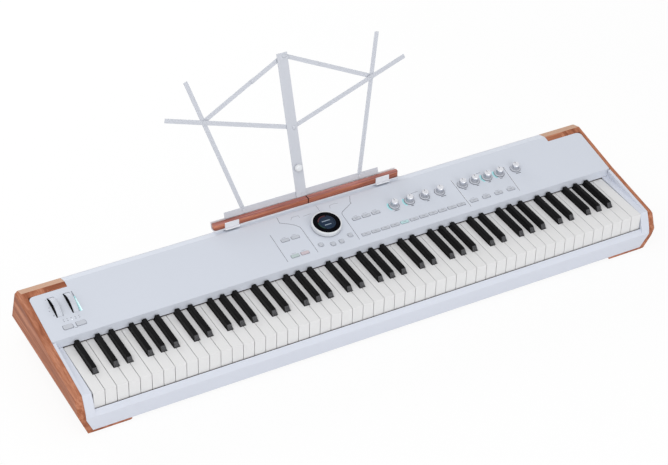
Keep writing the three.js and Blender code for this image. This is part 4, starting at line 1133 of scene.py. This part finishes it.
def build_camera():
    camera = bpy.data.objects.new("camera", bpy.data.cameras.new("camera"))
    camera.data.lens = LENS
    camera.data.sensor_width = SENSOR
    camera.data.sensor_fit = "HORIZONTAL"
    camera.data.clip_end = CLIP_END
    back = CAMERA_RIGHT.cross(CAMERA_UP).normalized()
    up = back.cross(CAMERA_RIGHT).normalized()
    turn = Matrix((CAMERA_RIGHT.normalized(), up, back)).transposed().to_4x4()
    camera.matrix_world = Matrix.Translation(CAMERA_AT) @ turn
    bpy.context.scene.collection.objects.link(camera)
    bpy.context.scene.camera = camera


FLOOR_HALF = 15.0
# How much of the floor's look is its own light, for the camera and in reflections
FLOOR_LIGHT_SHARE = 0.9


def seen_directly(tree):
    """1 for the camera and for reflections, 0 for the light that falls on the piano."""
    rays = tree.nodes.new("ShaderNodeLightPath")
    seen = tree.nodes.new("ShaderNodeMath")
    seen.operation = "MAXIMUM"
    tree.links.new(rays.outputs["Is Camera Ray"], seen.inputs[0])
    tree.links.new(rays.outputs["Is Glossy Ray"], seen.inputs[1])
    return seen.outputs[0]


def floor_material():
    paint = Paint("floor", (0.93, 0.93, 0.93), roughness=0.9)
    paint.tint(paint.noise(scale=2.0), share=0.004)
    light = paint.node("ShaderNodeEmission", {"Strength": 1.0}).outputs[0]
    factors = {0: seen_directly(paint.tree), 1: FLOOR_LIGHT_SHARE}
    share = paint.node("ShaderNodeMath", factors, operation="MULTIPLY").outputs[0]
    mix = paint.node("ShaderNodeMixShader", {0: share, 1: paint.shader.outputs[0], 2: light})
    output = paint.tree.nodes["Material Output"]
    paint.feed(output.inputs["Surface"], mix.outputs[0])
    return paint.material


def build_floor():
    bm = bmesh.new()
    corners = ((-1, -1), (1, -1), (1, 1), (-1, 1))
    bm.faces.new([bm.verts.new((x * FLOOR_HALF, y * FLOOR_HALF, 0)) for x, y in corners])
    mesh = bpy.data.meshes.new("floor")
    bm.to_mesh(mesh)
    bm.free()
    mesh.materials.append(floor_material())
    floor = bpy.data.objects.new("floor", mesh)
    bpy.context.scene.collection.objects.link(floor)


LIGHT_TARGET = Vector((0, 0, 0.1))
# Area lights: place, size, power in watts, and whether they show in reflections
AREA_LIGHTS = {
    "key light": ((-1.6, -1.6, 3.2), (2.6, 2.6), 41, True),
    "front light": ((0.6, -3.4, 1.6), (3.0, 1.6), 32, True),
    "back light": ((-0.9, 2.9, 1.1), (3.2, 1.4), 52, False),
}
# Strength of the white world, as light on the piano and as what the camera and reflections show
WORLD_LIGHT = 0.62
WORLD_SEEN = 1.0


def area_light(name, place, size, power, mirrored):
    data = bpy.data.lights.new(name, "AREA")
    data.shape = "RECTANGLE"
    data.size, data.size_y = size
    data.energy = power
    light = bpy.data.objects.new(name, data)
    light.location = place
    light.visible_glossy = mirrored
    light.rotation_euler = (LIGHT_TARGET - Vector(place)).to_track_quat("-Z", "Y").to_euler()
    bpy.context.scene.collection.objects.link(light)


def build_world():
    world = bpy.data.worlds.new("studio")
    world.use_nodes = True
    bpy.context.scene.world = world
    tree = world.node_tree
    background = tree.nodes["Background"]
    strength = tree.nodes.new("ShaderNodeMapRange")
    strength.inputs["To Min"].default_value = WORLD_LIGHT
    strength.inputs["To Max"].default_value = WORLD_SEEN
    tree.links.new(seen_directly(tree), strength.inputs["Value"])
    tree.links.new(strength.outputs["Result"], background.inputs["Strength"])
    background.inputs["Color"].default_value = (1.0, 1.0, 1.0, 1.0)


def build_light():
    build_world()
    for name, settings in AREA_LIGHTS.items():
        area_light(name, *settings)
    bpy.context.scene.view_settings.view_transform = "Standard"


build_camera()
build_case()
build_keys()
build_buttons()
build_knobs()
build_display()
build_wheels()
build_wheel_light()
build_felt_and_shadow_strips()
build_panel_marks()
build_cap_marks()
build_button_gap_shades()
build_rest()
build_ledge_split()
build_screws()
build_floor()
build_light()
